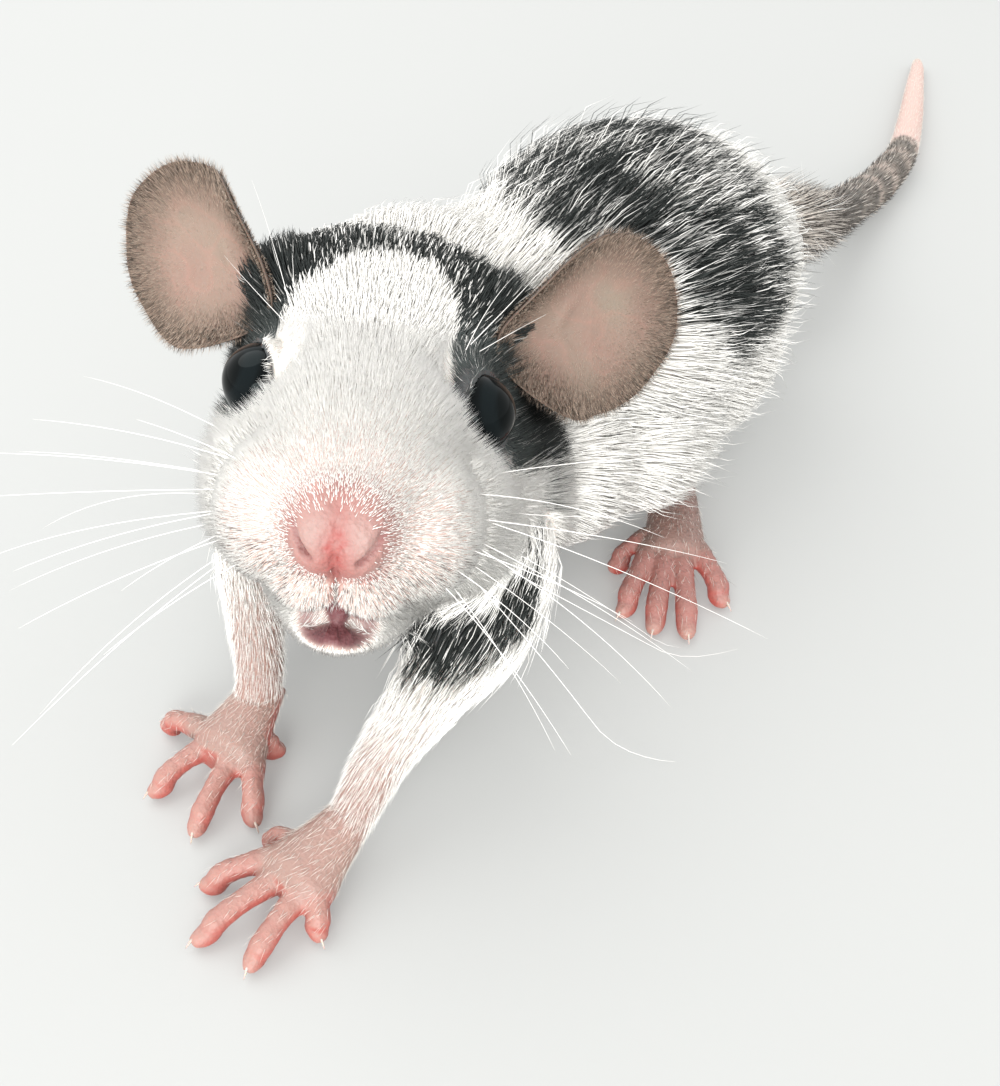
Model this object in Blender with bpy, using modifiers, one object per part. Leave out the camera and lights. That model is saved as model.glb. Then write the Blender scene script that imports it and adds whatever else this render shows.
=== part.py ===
"""A young pet rat, a still life-size model: it crouches on a flat floor and looks up over its left shoulder.

The body faces -Y, its left side is +X, and its soles rest at z = 0.
Sizes and places are in millimetres, and MM turns them into the metres of the scene.
The solids reach out to the tips of the short coat.
"""

import math

import bmesh
import bpy
import numpy as np
from mathutils import Matrix, Vector

MM = 0.001
GAP = 0.3  # between nodes that touch
SIDES = {"left": 1, "right": -1}
UP = np.array([0.0, 0.0, 1.0])
OBJECT_NAME = "pet_rat"

# Cells of the flesh, and the share of its faces that is kept.
HEAD_VOXEL, HEAD_KEEP, HEAD_ROUNDS = 0.45, 0.05, 6
BODY_VOXEL, BODY_KEEP, BODY_ROUNDS = 0.8, 0.09, 5

# The head's own frame: origin between the eyes, +X to the rat's left, -Y out through the nose, +Z up.
HEAD_AT = (2.9, -36.0, 22.8)
HEAD_TURN = {"Z": 43.4, "X": -31.2, "Y": 10.2}

# Head stations: place along Y, half width, top, bottom.
HEAD_STATIONS = (
    (-16.7, 1.4, -3.6, -6.2),
    (-15.8, 2.7, -2.7, -7.2),
    (-13.8, 3.7, -1.9, -8.8),
    (-10.6, 5.2, -0.2, -10.4),
    (-6.8, 6.4, 2.4, -11.2),
    (-3.2, 6.9, 4.6, -11.8),
    (0.6, 7.7, 6.8, -12.2),
    (5.0, 9.8, 9.2, -12.2),
    (9.5, 10.8, 10.8, -11.2),
    (14.0, 10.8, 11.2, -9.6),
    (18.5, 9.6, 9.6, -7.6),
    (22.0, 5.8, 5.2, -5.0),
)
HEAD_SQUARENESS = 2.35
WHISKER_PAD = {"at": (4.0, -8.8, -5.8), "half": (3.5, 5.0, 4.3)}
CHEEK = {"at": (6.6, 4.6, -5.0), "half": (4.3, 6.8, 6.6)}
NOSE_PAD = {"at": (1.0, -15.7, -5.0), "half": (1.6, 1.9, 2.5)}

EYE_AT = (6.1, -0.7, 0.0)
EYE_RADIUS = 2.55
EYE_LOOKS = (0.87, -0.42, 0.26)
LID = {"rise": 1.1, "radius": 2.75, "thickness": 0.5}

# The muzzle is what lies in a box ahead of the eyes.
MUZZLE_BOX = ((0.0, -16.6, -4.0), (16.0, 12.0, 14.0))
NOSTRIL = (
    ((1.5, -17.1, -6.0), (0.55, 1.2, 0.38)),
    ((2.05, -16.7, -5.4), (0.34, 1.0, 0.46)),
)
PHILTRUM = (
    (0.0, -18.0, -6.4, 0.30),
    (0.0, -16.6, -7.6, 0.32),
    (0.0, -15.2, -8.9, 0.34),
    (0.0, -13.6, -10.2, 0.40),
)

# Whiskers: rows by height and rise, columns by place, backward sweep and length.
WHISKER_ROWS = ((-3.6, 0.36), (-5.2, 0.10), (-6.8, -0.14), (-8.0, -0.36))
WHISKER_COLUMNS = ((-10.6, 0.05, 16.0), (-8.4, 0.30, 22.0), (-6.2, 0.58, 26.0))
WHISKERS_LEFT_OUT = ((0, 0), (3, 2))
WHISKER_ROOT_X = 6.7
WHISKER_ROOT_IN = 0.5  # how much nearer the middle the outer rows start, for each row
WHISKER_SIDES = 4
WHISKER_RADIUS = 0.27
WHISKER_OUT = 0.9
WHISKER_BEND = (0.0, 0.10, -0.08)  # what the tip moves by, as a share of the length
WHISKER_CHANCE = {"length": (0.9, 1.08), "sweep": 0.06, "rise": 0.05}
WHISKER_TAPER = ((-0.05, 1.0), (0.25, 0.95), (0.5, 0.85), (0.75, 0.7), (1.0, 0.4))
WHISKER_SEED = 11

# Jaw stations: place along Y, half width, top, bottom.
JAW_STATIONS = (
    (-11.9, 0.8, -11.4, -12.4),
    (-11.0, 1.8, -10.8, -13.2),
    (-8.6, 3.0, -9.8, -14.0),
    (-4.5, 4.6, -9.0, -14.2),
    (0.5, 6.0, -9.0, -13.8),
    (4.5, 5.2, -9.4, -12.8),
)

# Ear: its root's place on the head, the way it grows and the way it faces, its size and its cup.
EAR = {
    "at": (8.6, 4.4, 3.9),
    "grows": (0.76, 0.46, 0.44),
    "faces": (0.42, -0.88, 0.16),
    "length": 12.8,
    "width": 13.8,
    "root": 0.22,
    "waist": 0.30,
    "cup": 2.2,
    "cup_middle": 0.6,
    "cup_foot": 0.8,
    "fold": 1.8,
    "thickness": 0.75,
    "sides": 20,
    "rings": 5,
}

# Trunk stations, from the tail to the chest: centre, half width, half height.
TRUNK_STATIONS = (
    (0.9, 27.4, 10.1, 2.8, 2.8),
    (0.2, 24.6, 10.8, 3.7, 3.6),
    (-1.0, 21.5, 11.2, 5.6, 5.2),
    (-3.4, 17.0, 12.0, 8.9, 7.8),
    (-3.7, 10.0, 13.4, 12.7, 10.4),
    (-2.1, 0.0, 15.0, 15.0, 12.7),
    (-1.0, -9.0, 14.8, 14.3, 12.8),
    (-3.2, -17.0, 13.8, 12.0, 11.9),
    (-5.7, -24.0, 13.4, 10.5, 10.7),
    (-6.6, -30.0, 13.0, 9.0, 8.9),
    (-6.6, -33.5, 12.8, 5.0, 5.0),
)
NECK_STATIONS = (
    (-3.6, -14.0, 14.4, 8.4, 8.8),
    (-6.0, -19.0, 15.0, 10.8, 10.8),
    (-6.6, -24.0, 15.8, 10.8, 10.8),
    (-5.0, -28.5, 16.8, 8.6, 8.6),
)

# Leg stations: centre, half width, half height. Each leg ends at its wrist or ankle.
FORELEG_STATIONS = {
    "left": (
        (1.0, -22.0, 13.0, 5.0, 5.4),
        (6.6, -29.0, 12.2, 5.8, 6.4),
        (11.4, -36.5, 10.0, 4.9, 5.4),
        (12.4, -42.0, 8.0, 3.3, 3.5),
        (12.4, -46.6, 5.7, 2.3, 2.3),
        (12.9, -50.2, 3.7, 1.75, 1.7),
        (13.0, -51.6, 3.2, 1.6, 1.6),
    ),
    "right": (
        (-7.0, -24.0, 12.6, 5.4, 6.0),
        (-9.8, -31.0, 10.4, 4.9, 5.8),
        (-9.4, -37.2, 8.4, 3.7, 4.0),
        (-5.4, -42.0, 8.4, 3.0, 3.2),
        (-1.6, -44.9, 7.3, 2.4, 2.4),
        (0.7, -46.9, 5.0, 1.9, 1.9),
        (1.3, -48.2, 3.4, 1.7, 1.6),
    ),
}
THIGH = {
    "left": {"at": (7.8, -3.5, 11.2), "half": (5.6, 11.8, 10.2)},
    "right": {"at": (-10.6, -3.5, 11.2), "half": (5.6, 11.8, 10.2)},
}

# Paws: wrist or heel, knuckles, then the tip of each digit in turn from the thumb's side out, all on the floor plan.
FOREPAW = {
    "left": {
        "wrist": (12.9, -50.9, 3.4),
        "palm": (12.6, -54.6, 1.85),
        "tips": ((8.4, -53.6), (7.9, -58.4), (10.4, -61.0), (14.1, -60.0), (15.9, -56.1)),
    },
    "right": {
        "wrist": (1.1, -47.4, 3.5),
        "palm": (1.8, -51.2, 1.85),
        "tips": ((3.9, -48.6), (6.9, -53.5), (4.5, -56.5), (-0.1, -56.4), (-4.1, -52.3)),
    },
}
FORE_DIGIT = {
    "palm": 2.5,
    "root": 1.0,
    "thumb": 0.72,
    "tip": 0.8,
    "claw": 1.0,
    "arch": 0.45,
    "tip_height": 0.74,
    "root_height": 1.9,
}
HINDPAW = {
    "left": {
        "wrist": (7.0, -4.8, 2.7),
        "palm": (14.2, -15.4, 1.85),
        "tips": ((10.8, -19.3), (14.4, -23.0), (17.3, -22.9), (19.6, -21.6), (20.0, -16.9)),
    },
    "right": {
        "wrist": (-9.8, -4.8, 2.7),
        "palm": (-17.0, -15.4, 1.85),
        "tips": ((-13.6, -19.3), (-17.2, -23.0), (-20.1, -22.9), (-22.4, -21.6), (-22.8, -16.9)),
    },
}
HIND_DIGIT = {
    "palm": 2.3,
    "root": 1.15,
    "thumb": 0.95,
    "tip": 0.9,
    "claw": 1.1,
    "arch": 0.45,
    "tip_height": 0.84,
    "root_height": 2.0,
}

# Palm or sole: share of the way from wrist to knuckles, share of the half width, half height.
PALM_SHAPE = ((0.0, 0.80, 1.9), (0.5, 0.92, 1.85), (1.0, 1.16, 2.0))
PALM_END = {"ahead": 1.4, "width": 0.80, "height": 1.3}
# Digit: how far its root spreads and lies back, its radius there and half way, then the rows of its tip:
# the place past the tip and the share of the tip's radius.
DIGIT_SPREAD = 0.42
DIGIT_BACK = {"thumb": 1.4, "finger": 0.2}
DIGIT_RADIUS = {"root": 1.05, "middle": 0.88}
DIGIT_END = ((-0.9, 1.0), (-0.1, 0.86), (0.35, 0.5))
# Claw: share of its length past the tip, rise, radius.
CLAW_SHAPE = ((-0.4, 0.15, 0.34), (0.6, 0.12, 0.27), (1.1, -0.10, 0.15))

# Where the flesh is parted.
FOREARM_BOX = {
    "left": ((16.6, -48.2, 5.2), (11.2, 8.6, 6.6)),
    "right": ((-6.4, -48.2, 5.6), (11.2, 6.4, 6.4)),
}
UPPER_ARM_FORM = {
    "left": ((10.4, -33.0, 9.6), (7.0, 10.4, 9.4)),
    "right": ((-8.8, -35.6, 9.2), (7.8, 11.4, 9.0)),
}
THIGH_FORM = {
    "left": ((10.4, -4.0, 10.8), (8.6, 12.2, 11.2)),
    "right": ((-13.2, -4.0, 10.8), (8.6, 12.2, 11.2)),
}
NECK_BOX = {"at": (-2.0, -33.6, 18.0), "half": (26.0, 15.0, 26.0), "ahead": (0.06, -0.96, 0.26)}
CHEST_BOX = ((0.0, -34.0, 16.0), (40.0, 28.0, 30.0))
FLOOR_BOX = ((0.0, 0.0, -20.0), (200.0, 200.0, 20.0))

# Tail stations: centre and radius, laid along the floor.
TAIL_STATIONS = (
    (-0.6, 20.5, 11.4, 3.0),
    (0.6, 25.0, 10.8, 2.9),
    (0.8, 29.0, 9.4, 2.75),
    (0.0, 36.0, 7.0, 2.6),
    (-1.5, 46.0, 4.6, 2.5),
    (-2.9, 56.5, 2.5, 2.45),
    (-3.8, 63.5, 2.25, 2.3),
    (-5.4, 71.2, 2.0, 2.05),
    (-9.6, 83.2, 1.75, 1.8),
    (-14.4, 95.6, 1.4, 1.45),
    (-18.0, 105.0, 1.05, 1.1),
    (-19.7, 109.0, 0.8, 0.75),
)
TAIL_CUTS = {"tail_base": 16, "tail_middle": 28, "tail_tip": 44}  # the row each length ends on

NEAR_THE_HEAD = ("neck", "chest", "upper_arm_left", "upper_arm_right", "forearm_left", "forearm_right")
TOUCHES_FLOOR = (
    "forepaw_left",
    "forepaw_right",
    "hindpaw_left",
    "hindpaw_right",
    "tail_base",
    "tail_middle",
    "tail_tip",
)

# Finish of each node: colour and roughness.
FINISH = {
    "head": ((0.62, 0.58, 0.53), 0.8),
    "muzzle": ((0.70, 0.56, 0.50), 0.7),
    "jaw": ((0.62, 0.50, 0.45), 0.7),
    "eye": ((0.008, 0.008, 0.012), 0.08),
    "ear": ((0.24, 0.17, 0.14), 0.7),
    "neck": ((0.66, 0.63, 0.59), 0.85),
    "chest": ((0.55, 0.52, 0.49), 0.85),
    "rump": ((0.16, 0.15, 0.14), 0.85),
    "thigh": ((0.66, 0.63, 0.59), 0.85),
    "upper_arm": ((0.60, 0.57, 0.53), 0.85),
    "forearm": ((0.62, 0.48, 0.43), 0.75),
    "forepaw": ((0.60, 0.27, 0.23), 0.5),
    "hindpaw": ((0.60, 0.27, 0.23), 0.5),
    "tail_base": ((0.09, 0.07, 0.06), 0.7),
    "tail_middle": ((0.11, 0.08, 0.07), 0.7),
    "tail_tip": ((0.60, 0.33, 0.28), 0.6),
}


def clear_scene():
    """Removes whatever the file holds at the start."""
    for obj in list(bpy.data.objects):
        bpy.data.objects.remove(obj)


def head_matrix():
    """Turns the head's own frame into the body's, in millimetres."""
    turned = Matrix.Translation(HEAD_AT)
    for axis in "ZXY":
        turned = turned @ Matrix.Rotation(math.radians(HEAD_TURN[axis]), 4, axis)
    return turned


def unit(v):
    """A vector, or rows of vectors, at length 1."""
    v = np.asarray(v, float)
    return v / np.linalg.norm(v, axis=-1, keepdims=True)


def sided(at, side):
    """A place or direction given for the left, on either side."""
    return (at[0] * SIDES[side], *at[1:])


def spline(stations, per):
    """A Catmull-Rom curve through every column of the stations, with per samples between two of them."""
    p = np.asarray(stations, float)
    p = np.vstack([2 * p[0] - p[1], p, 2 * p[-1] - p[-2]])
    t = np.linspace(0, 1, per, endpoint=False)[:, None]
    spans = [
        0.5 * (2 * b + (c - a) * t + (2 * a - 5 * b + 4 * c - d) * t**2 + (3 * b - a - 3 * c + d) * t**3)
        for a, b, c, d in zip(p, p[1:], p[2:], p[3:])
    ]
    return np.vstack(spans + [p[-2]])


def rings_along(curve, sides):
    """Elliptic rings across a curve of rows x, y, z, half width, half height."""
    centre = curve[:, :3]
    ahead = unit(np.gradient(centre, axis=0))
    across = unit(np.cross(np.array([0.0, 0.0, 1.0]), ahead))
    upward = np.cross(ahead, across)
    turn = np.linspace(0, 2 * np.pi, sides, endpoint=False)[None, :, None]
    wide = curve[:, None, 3:4] * across[:, None, :]
    high = curve[:, None, 4:5] * upward[:, None, :]
    return centre[:, None, :] + wide * np.cos(turn) + high * np.sin(turn)


def head_rings(stations, sides):
    """Squarish rings round the head's own axis, from stations of place, half width, top and bottom."""
    rows = spline(stations, 3)
    turn = np.linspace(0, 2 * np.pi, sides, endpoint=False)[None, :]
    power = 2 / HEAD_SQUARENESS
    wide = np.sign(np.cos(turn)) * np.abs(np.cos(turn)) ** power
    high = np.sign(np.sin(turn)) * np.abs(np.sin(turn)) ** power
    x = rows[:, 1:2] * wide
    z = (rows[:, 2:3] + rows[:, 3:4]) / 2 + (rows[:, 2:3] - rows[:, 3:4]) / 2 * high
    y = np.repeat(rows[:, 0:1], sides, axis=1)
    return np.stack([x, y, z], axis=2)


def mesh_object(name, points, faces):
    """An object from points in millimetres, with its faces turned outwards."""
    mesh = bpy.data.meshes.new(name)
    mesh.from_pydata((np.asarray(points) * MM).tolist(), [], faces)
    bm = bmesh.new()
    bm.from_mesh(mesh)
    bmesh.ops.recalc_face_normals(bm, faces=bm.faces)
    bm.to_mesh(mesh)
    bm.free()
    obj = bpy.data.objects.new(name, mesh)
    bpy.context.scene.collection.objects.link(obj)
    return obj


def loft(name, rings):
    """A closed skin over rings of points, with a flat cap at each end."""
    count, sides, _ = rings.shape
    faces = [tuple(range(sides)), tuple((count - 1) * sides + i for i in range(sides))]
    for k in range(count - 1):
        for i in range(sides):
            j = (i + 1) % sides
            faces.append((k * sides + i, k * sides + j, (k + 1) * sides + j, (k + 1) * sides + i))
    return mesh_object(name, rings.reshape(-1, 3), faces)


def fleshy(name, stations, sides):
    """A loft along stations of centre, half width and half height."""
    return loft(name, rings_along(spline(stations, 3), sides))


def tube(name, stations, sides, per):
    """A round tapered tube along stations of centre and radius, made as a curve with filled caps."""
    rows = spline(stations, per)
    curve = bpy.data.curves.new(name, "CURVE")
    curve.dimensions = "3D"
    curve.bevel_depth = MM
    curve.bevel_resolution = sides // 2 - 2
    curve.use_fill_caps = True
    line = curve.splines.new("POLY")
    line.points.add(len(rows) - 1)
    for point, (x, y, z, radius) in zip(line.points, rows):
        point.co = (x * MM, y * MM, z * MM, 1.0)
        point.radius = radius
    guide = bpy.data.objects.new(name + "_curve", curve)
    bpy.context.scene.collection.objects.link(guide)
    mesh = bpy.data.meshes.new_from_object(guide.evaluated_get(bpy.context.evaluated_depsgraph_get()))
    bpy.data.objects.remove(guide)
    bm = bmesh.new()
    bm.from_mesh(mesh)
    bmesh.ops.remove_doubles(bm, verts=bm.verts, dist=1e-6)
    bmesh.ops.recalc_face_normals(bm, faces=bm.faces)
    bm.to_mesh(mesh)
    bm.free()
    obj = bpy.data.objects.new(name, mesh)
    bpy.context.scene.collection.objects.link(obj)
    return obj


def from_bmesh(name, bm, at, half, turn):
    """An object from a unit form, scaled to three half sizes, turned about its centre and put in its place."""
    place = Matrix.Translation(Vector(at) * MM)
    if turn is not None:
        place = place @ turn.to_4x4()
    sizes = Matrix.Diagonal((half[0] * MM, half[1] * MM, half[2] * MM, 1.0))
    bmesh.ops.transform(bm, matrix=place @ sizes, verts=bm.verts)
    mesh = bpy.data.meshes.new(name)
    bm.to_mesh(mesh)
    bm.free()
    obj = bpy.data.objects.new(name, mesh)
    bpy.context.scene.collection.objects.link(obj)
    return obj


def ellipsoid(name, at, half, turn=None, detail=3):
    """A round body with three half sizes."""
    bm = bmesh.new()
    bmesh.ops.create_icosphere(bm, subdivisions=detail, radius=1.0)
    return from_bmesh(name, bm, at, half, turn)


def box(name, at, half, turn=None):
    """A box with three half sizes."""
    bm = bmesh.new()
    bmesh.ops.create_cube(bm, size=2.0)
    return from_bmesh(name, bm, at, half, turn)


def facing(direction):
    """A turn that carries +Y onto a direction."""
    return Vector(direction).to_track_quat("Y", "Z").to_matrix()


def carried(obj, matrix):
    """Moves an object's mesh by a matrix whose place is in millimetres."""
    m = matrix.copy()
    m.translation = m.translation * MM
    obj.data.transform(m)
    return obj


def twin(obj, name):
    """A copy with a mesh of its own."""
    copy = bpy.data.objects.new(name, obj.data.copy())
    bpy.context.scene.collection.objects.link(copy)
    return copy


def settled(obj):
    """Replaces the object's mesh with what its modifiers make."""
    graph = bpy.context.evaluated_depsgraph_get()
    mesh = bpy.data.meshes.new_from_object(obj.evaluated_get(graph))
    obj.modifiers.clear()
    obj.data = mesh
    return obj


def removed(objects):
    """Removes objects that have done their work."""
    for obj in objects:
        bpy.data.objects.remove(obj)


def largest_only(obj):
    """Keeps the largest closed surface of a mesh."""
    bm = bmesh.new()
    bm.from_mesh(obj.data)
    left, islands = set(bm.verts), []
    while left:
        queue = [left.pop()]
        island = []
        while queue:
            vert = queue.pop()
            island.append(vert)
            for edge in vert.link_edges:
                other = edge.other_vert(vert)
                if other in left:
                    left.remove(other)
                    queue.append(other)
        islands.append(island)
    islands.sort(key=len)
    spare = [v for island in islands[:-1] for v in island]
    bmesh.ops.delete(bm, geom=spare, context="VERTS")
    bm.to_mesh(obj.data)
    bm.free()
    return obj


def combined(obj, other, operation, solver="EXACT"):
    """One Boolean step; the other object stays as it is."""
    step = obj.modifiers.new("Step", "BOOLEAN")
    step.operation = operation
    step.solver = solver
    step.object = other
    return largest_only(settled(obj))


def joined(name, pieces):
    """One closed body from overlapping pieces, by one union on a collection."""
    whole, others = pieces[0], pieces[1:]
    group = bpy.data.collections.new(name + "_pieces")
    for piece in others:
        group.objects.link(piece)
    union = whole.modifiers.new("Join", "BOOLEAN")
    union.operation = "UNION"
    union.solver = "EXACT"
    union.operand_type = "COLLECTION"
    union.collection = group
    settled(whole)
    removed(others)
    bpy.data.collections.remove(group)
    whole.name = name
    return largest_only(whole)


def swollen(obj, by):
    """A copy whose surface stands out by some millimetres."""
    copy = twin(obj, obj.name + "_swollen")
    push = copy.modifiers.new("Push", "DISPLACE")
    push.strength = by * MM
    push.mid_level = 0.0
    return settled(copy)


def cleared(obj, neighbours):
    """Cuts an object back until it stands a gap away from each neighbour."""
    for neighbour in neighbours:
        room = swollen(neighbour, GAP)
        combined(obj, room, "DIFFERENCE", "MANIFOLD")
        removed([room])
    return obj


def parted(whole, name, form, at, half, turn=None):
    """Takes out what lies inside a form as a node of its own, with a thin gap round it."""
    inner = form("inner", at, half, turn)
    outer = form("outer", at, tuple(h + GAP for h in half), turn)
    piece = combined(twin(whole, name), inner, "INTERSECT", "MANIFOLD")
    combined(whole, outer, "DIFFERENCE", "MANIFOLD")
    removed([inner, outer])
    return piece


def blended(name, pieces, voxel, rounds, keep):
    """Flesh from overlapping forms: remeshed whole, smoothed, and thinned to a share of its faces."""
    points, faces, start = [], [], 0
    for piece in pieces:
        spots = np.array([v.co[:] for v in piece.data.vertices])
        points.append(spots)
        faces += [[start + i for i in f.vertices] for f in piece.data.polygons]
        start += len(spots)
    removed(pieces)
    whole = mesh_object(name, np.vstack(points) / MM, faces)
    remesh = whole.modifiers.new("Remesh", "REMESH")
    remesh.mode = "VOXEL"
    remesh.voxel_size = voxel * MM
    smooth = whole.modifiers.new("Smooth", "SMOOTH")
    smooth.factor = 0.5
    smooth.iterations = rounds
    thin = whole.modifiers.new("Thin", "DECIMATE")
    thin.ratio = keep
    return largest_only(settled(whole))


def ring(name, at, axis, radius, thickness):
    """A round rim about an axis."""
    bpy.ops.mesh.primitive_torus_add(
        major_radius=radius * MM, minor_radius=thickness * MM, major_segments=20, minor_segments=8
    )
    obj = bpy.context.active_object
    obj.name = name
    turn = Vector(axis).to_track_quat("Z", "Y").to_matrix().to_4x4()
    obj.data.transform(Matrix.Translation(Vector(at) * MM) @ turn)
    return obj


def make_head():
    """The head as one body in its own frame, with its cheeks, whisker pads and nose."""
    forms = [loft("skull", head_rings(HEAD_STATIONS, 28))]
    for side in SIDES:
        for part in (WHISKER_PAD, CHEEK, NOSE_PAD):
            forms.append(ellipsoid("form", sided(part["at"], side), part["half"]))
    return blended("head", forms, HEAD_VOXEL, HEAD_ROUNDS, HEAD_KEEP)


def make_eyes(head):
    """Eye balls in sockets with raised lids round them."""
    eyes = []
    for side in SIDES:
        at, looks = sided(EYE_AT, side), unit(sided(EYE_LOOKS, side))
        lid = ring("lid", at + looks * LID["rise"], looks, LID["radius"], LID["thickness"])
        combined(head, lid, "UNION")
        removed([lid])
        eye = ellipsoid("eye_" + side, at, (EYE_RADIUS,) * 3)
        cleared(head, [eye])
        eyes.append(eye)
    return eyes


def make_ear(side):
    """A cupped disc on a narrow root: rings of points run from its middle to its rim, on two faces."""
    grows = unit(sided(EAR["grows"], side))
    front = np.array(sided(EAR["faces"], side), float)
    front = unit(front - grows * (front @ grows))
    across = np.cross(grows, front)
    around = np.linspace(0, 2 * np.pi, EAR["sides"], endpoint=False)[None, :]
    reach = np.linspace(0, 1, EAR["rings"])[1:, None]
    foot = np.clip(-np.cos(around), 0, 1) ** 2
    out_x = EAR["width"] / 2 * np.sin(around) * (1 - EAR["waist"] * foot)
    out_z = EAR["length"] / 2 * (np.cos(around) - EAR["root"] * foot**3)
    x, z = np.vstack([[[0] * EAR["sides"]], reach * out_x]), np.vstack([[[0] * EAR["sides"]], reach * out_z])
    spread = np.vstack([[[0]], reach]) ** 2 * np.ones_like(x)
    low = np.clip(-z / EAR["length"] * 2, 0, 1)
    cup = EAR["cup"] * (EAR["cup_middle"] + EAR["cup_foot"] * low)
    depth = EAR["fold"] * low * (x / EAR["width"] * 2) ** 2 - cup * (1 - spread)
    middle = np.array(sided(EAR["at"], side)) + grows * EAR["length"] / 2
    spots = middle + grows * z[..., None] + across * x[..., None] + front * depth[..., None]
    sides, rows = EAR["sides"], EAR["rings"]
    faces_both, points = [], []
    for face, lift in enumerate((EAR["thickness"] / 2, -EAR["thickness"] / 2)):
        sheet = spots + front * lift
        start = face * ((rows - 1) * sides + 1)
        points.append(np.vstack([sheet[:1, 0], sheet[1:].reshape(-1, 3)]))
        for i in range(sides):
            j = (i + 1) % sides
            faces_both.append((start, start + 1 + i, start + 1 + j))
            for r in range(rows - 2):
                a, b = start + 1 + r * sides + i, start + 1 + r * sides + j
                faces_both.append((a, a + sides, b + sides, b))
    rim, back = 1 + (rows - 2) * sides, (rows - 1) * sides + 1
    for i in range(sides):
        j = (i + 1) % sides
        faces_both.append((rim + i, rim + j, back + rim + j, back + rim + i))
    return mesh_object("ear_" + side, np.vstack(points), faces_both)


def make_whiskers(side, chance):
    """Tapered spines that fan out and droop from one whisker pad, their roots sunk in it."""
    spines = []
    for row, (z, rise) in enumerate(WHISKER_ROWS):
        for column, (y, sweep, length) in enumerate(WHISKER_COLUMNS):
            if (row, column) in WHISKERS_LEFT_OUT:
                continue
            long = length * chance.uniform(*WHISKER_CHANCE["length"])
            inward = WHISKER_ROOT_IN * abs(row - (len(WHISKER_ROWS) - 1) / 2)
            root = np.array([WHISKER_ROOT_X - inward, y, z])
            sweep_now = sweep + WHISKER_CHANCE["sweep"] * chance.uniform(-1, 1)
            rise_now = rise + WHISKER_CHANCE["rise"] * chance.uniform(-1, 1)
            way = unit([WHISKER_OUT, sweep_now, rise_now])
            stations = []
            for share, thick in WHISKER_TAPER:
                spot = root + way * long * share + np.array(WHISKER_BEND) * long * max(share, 0) ** 2
                stations.append((*sided(spot, side), WHISKER_RADIUS * thick))
            spines.append(tube("whisker", stations, WHISKER_SIDES, 1))
    return spines


def make_muzzle(head):
    """Parts the front of the head, and gives it nostrils and a split lip."""
    muzzle = parted(head, "muzzle", box, *MUZZLE_BOX)
    for side in SIDES:
        for at, half in NOSTRIL:
            hole = ellipsoid("hole", sided(at, side), half, detail=2)
            combined(muzzle, hole, "DIFFERENCE")
            removed([hole])
    groove = tube("groove", PHILTRUM, 6, 3)
    combined(muzzle, groove, "DIFFERENCE")
    removed([groove])
    return muzzle


def make_paw(name, paw, digit):
    """A palm or sole with five digits and their claws; the first digit is the thumb's."""
    wrist, palm = np.array(paw["wrist"]), np.array(paw["palm"])
    ahead = unit(palm - wrist)
    level = unit(ahead * np.array([1, 1, 0]))
    width = digit["palm"]
    stations = [(*(wrist + (palm - wrist) * share), width * wide, high) for share, wide, high in PALM_SHAPE]
    stations.append((*(palm + level * PALM_END["ahead"]), width * PALM_END["width"], PALM_END["height"]))
    pieces = [fleshy("palm", stations, 12)]
    for k, tip in enumerate(paw["tips"]):
        thumb = k == 0
        end = np.array([*tip, digit["tip_height"]])
        lead = unit(end - palm)
        sideways = (end - palm) - ahead * ((end - palm) @ ahead)
        root = palm + sideways * DIGIT_SPREAD - ahead * DIGIT_BACK["thumb" if thumb else "finger"]
        root[2] = digit["root_height"]
        middle = (root + end) / 2 + UP * digit["arch"]
        radius = digit["thumb"] if thumb else digit["root"]
        finger = [(*root, radius * DIGIT_RADIUS["root"]), (*middle, radius * DIGIT_RADIUS["middle"])]
        finger += [(*(end + lead * past), digit["tip"] * share) for past, share in DIGIT_END]
        pieces.append(tube("digit", finger, 6, 1))
        if not thumb:
            claw = [(*(end + lead * digit["claw"] * past + UP * rise), thick) for past, rise, thick in CLAW_SHAPE]
            pieces.append(tube("claw", claw, 4, 1))
    return joined(name, pieces)


def make_tail():
    """Three lengths of one tail, with a gap between each two."""
    rows, lengths, first = spline(TAIL_STATIONS, 4), {}, 0
    for name, last in TAIL_CUTS.items():
        section = rows[first : last + 1].copy()
        if first:
            section[0, :3] += unit(section[1, :3] - section[0, :3]) * GAP
        lengths[name] = tube(name, section, 14, 1)
        first = last
    return lengths


def material(name, colour, roughness):
    """A plain finish for a node."""
    made = bpy.data.materials.new(name)
    made.use_nodes = True
    shader = made.node_tree.nodes["Principled BSDF"]
    shader.inputs["Base Color"].default_value = (*colour, 1.0)
    shader.inputs["Roughness"].default_value = roughness
    shader.inputs["Metallic"].default_value = 0.0
    return made


def finished(nodes):
    """Gives every node its finish and smooth faces, and puts them all in one collection."""
    group = bpy.data.collections.new(OBJECT_NAME)
    bpy.context.scene.collection.children.link(group)
    for name, obj in nodes.items():
        obj.name = name
        obj.data.name = name
        stem = name.replace("_left", "").replace("_right", "")
        obj.data.materials.clear()
        obj.data.materials.append(material(name, *FINISH[stem]))
        for face in obj.data.polygons:
            face.use_smooth = True
        for other in list(obj.users_collection):
            other.objects.unlink(obj)
        group.objects.link(obj)


def centred(nodes):
    """Moves the whole part so that its box stands over the origin, with its soles at z = 0."""
    spots = np.vstack([[v.co[:] for v in obj.data.vertices] for obj in nodes.values()])
    low, high = spots.min(0), spots.max(0)
    shift = Matrix.Translation((-(low[0] + high[0]) / 2, -(low[1] + high[1]) / 2, 0))
    for obj in nodes.values():
        obj.data.transform(shift)


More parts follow.
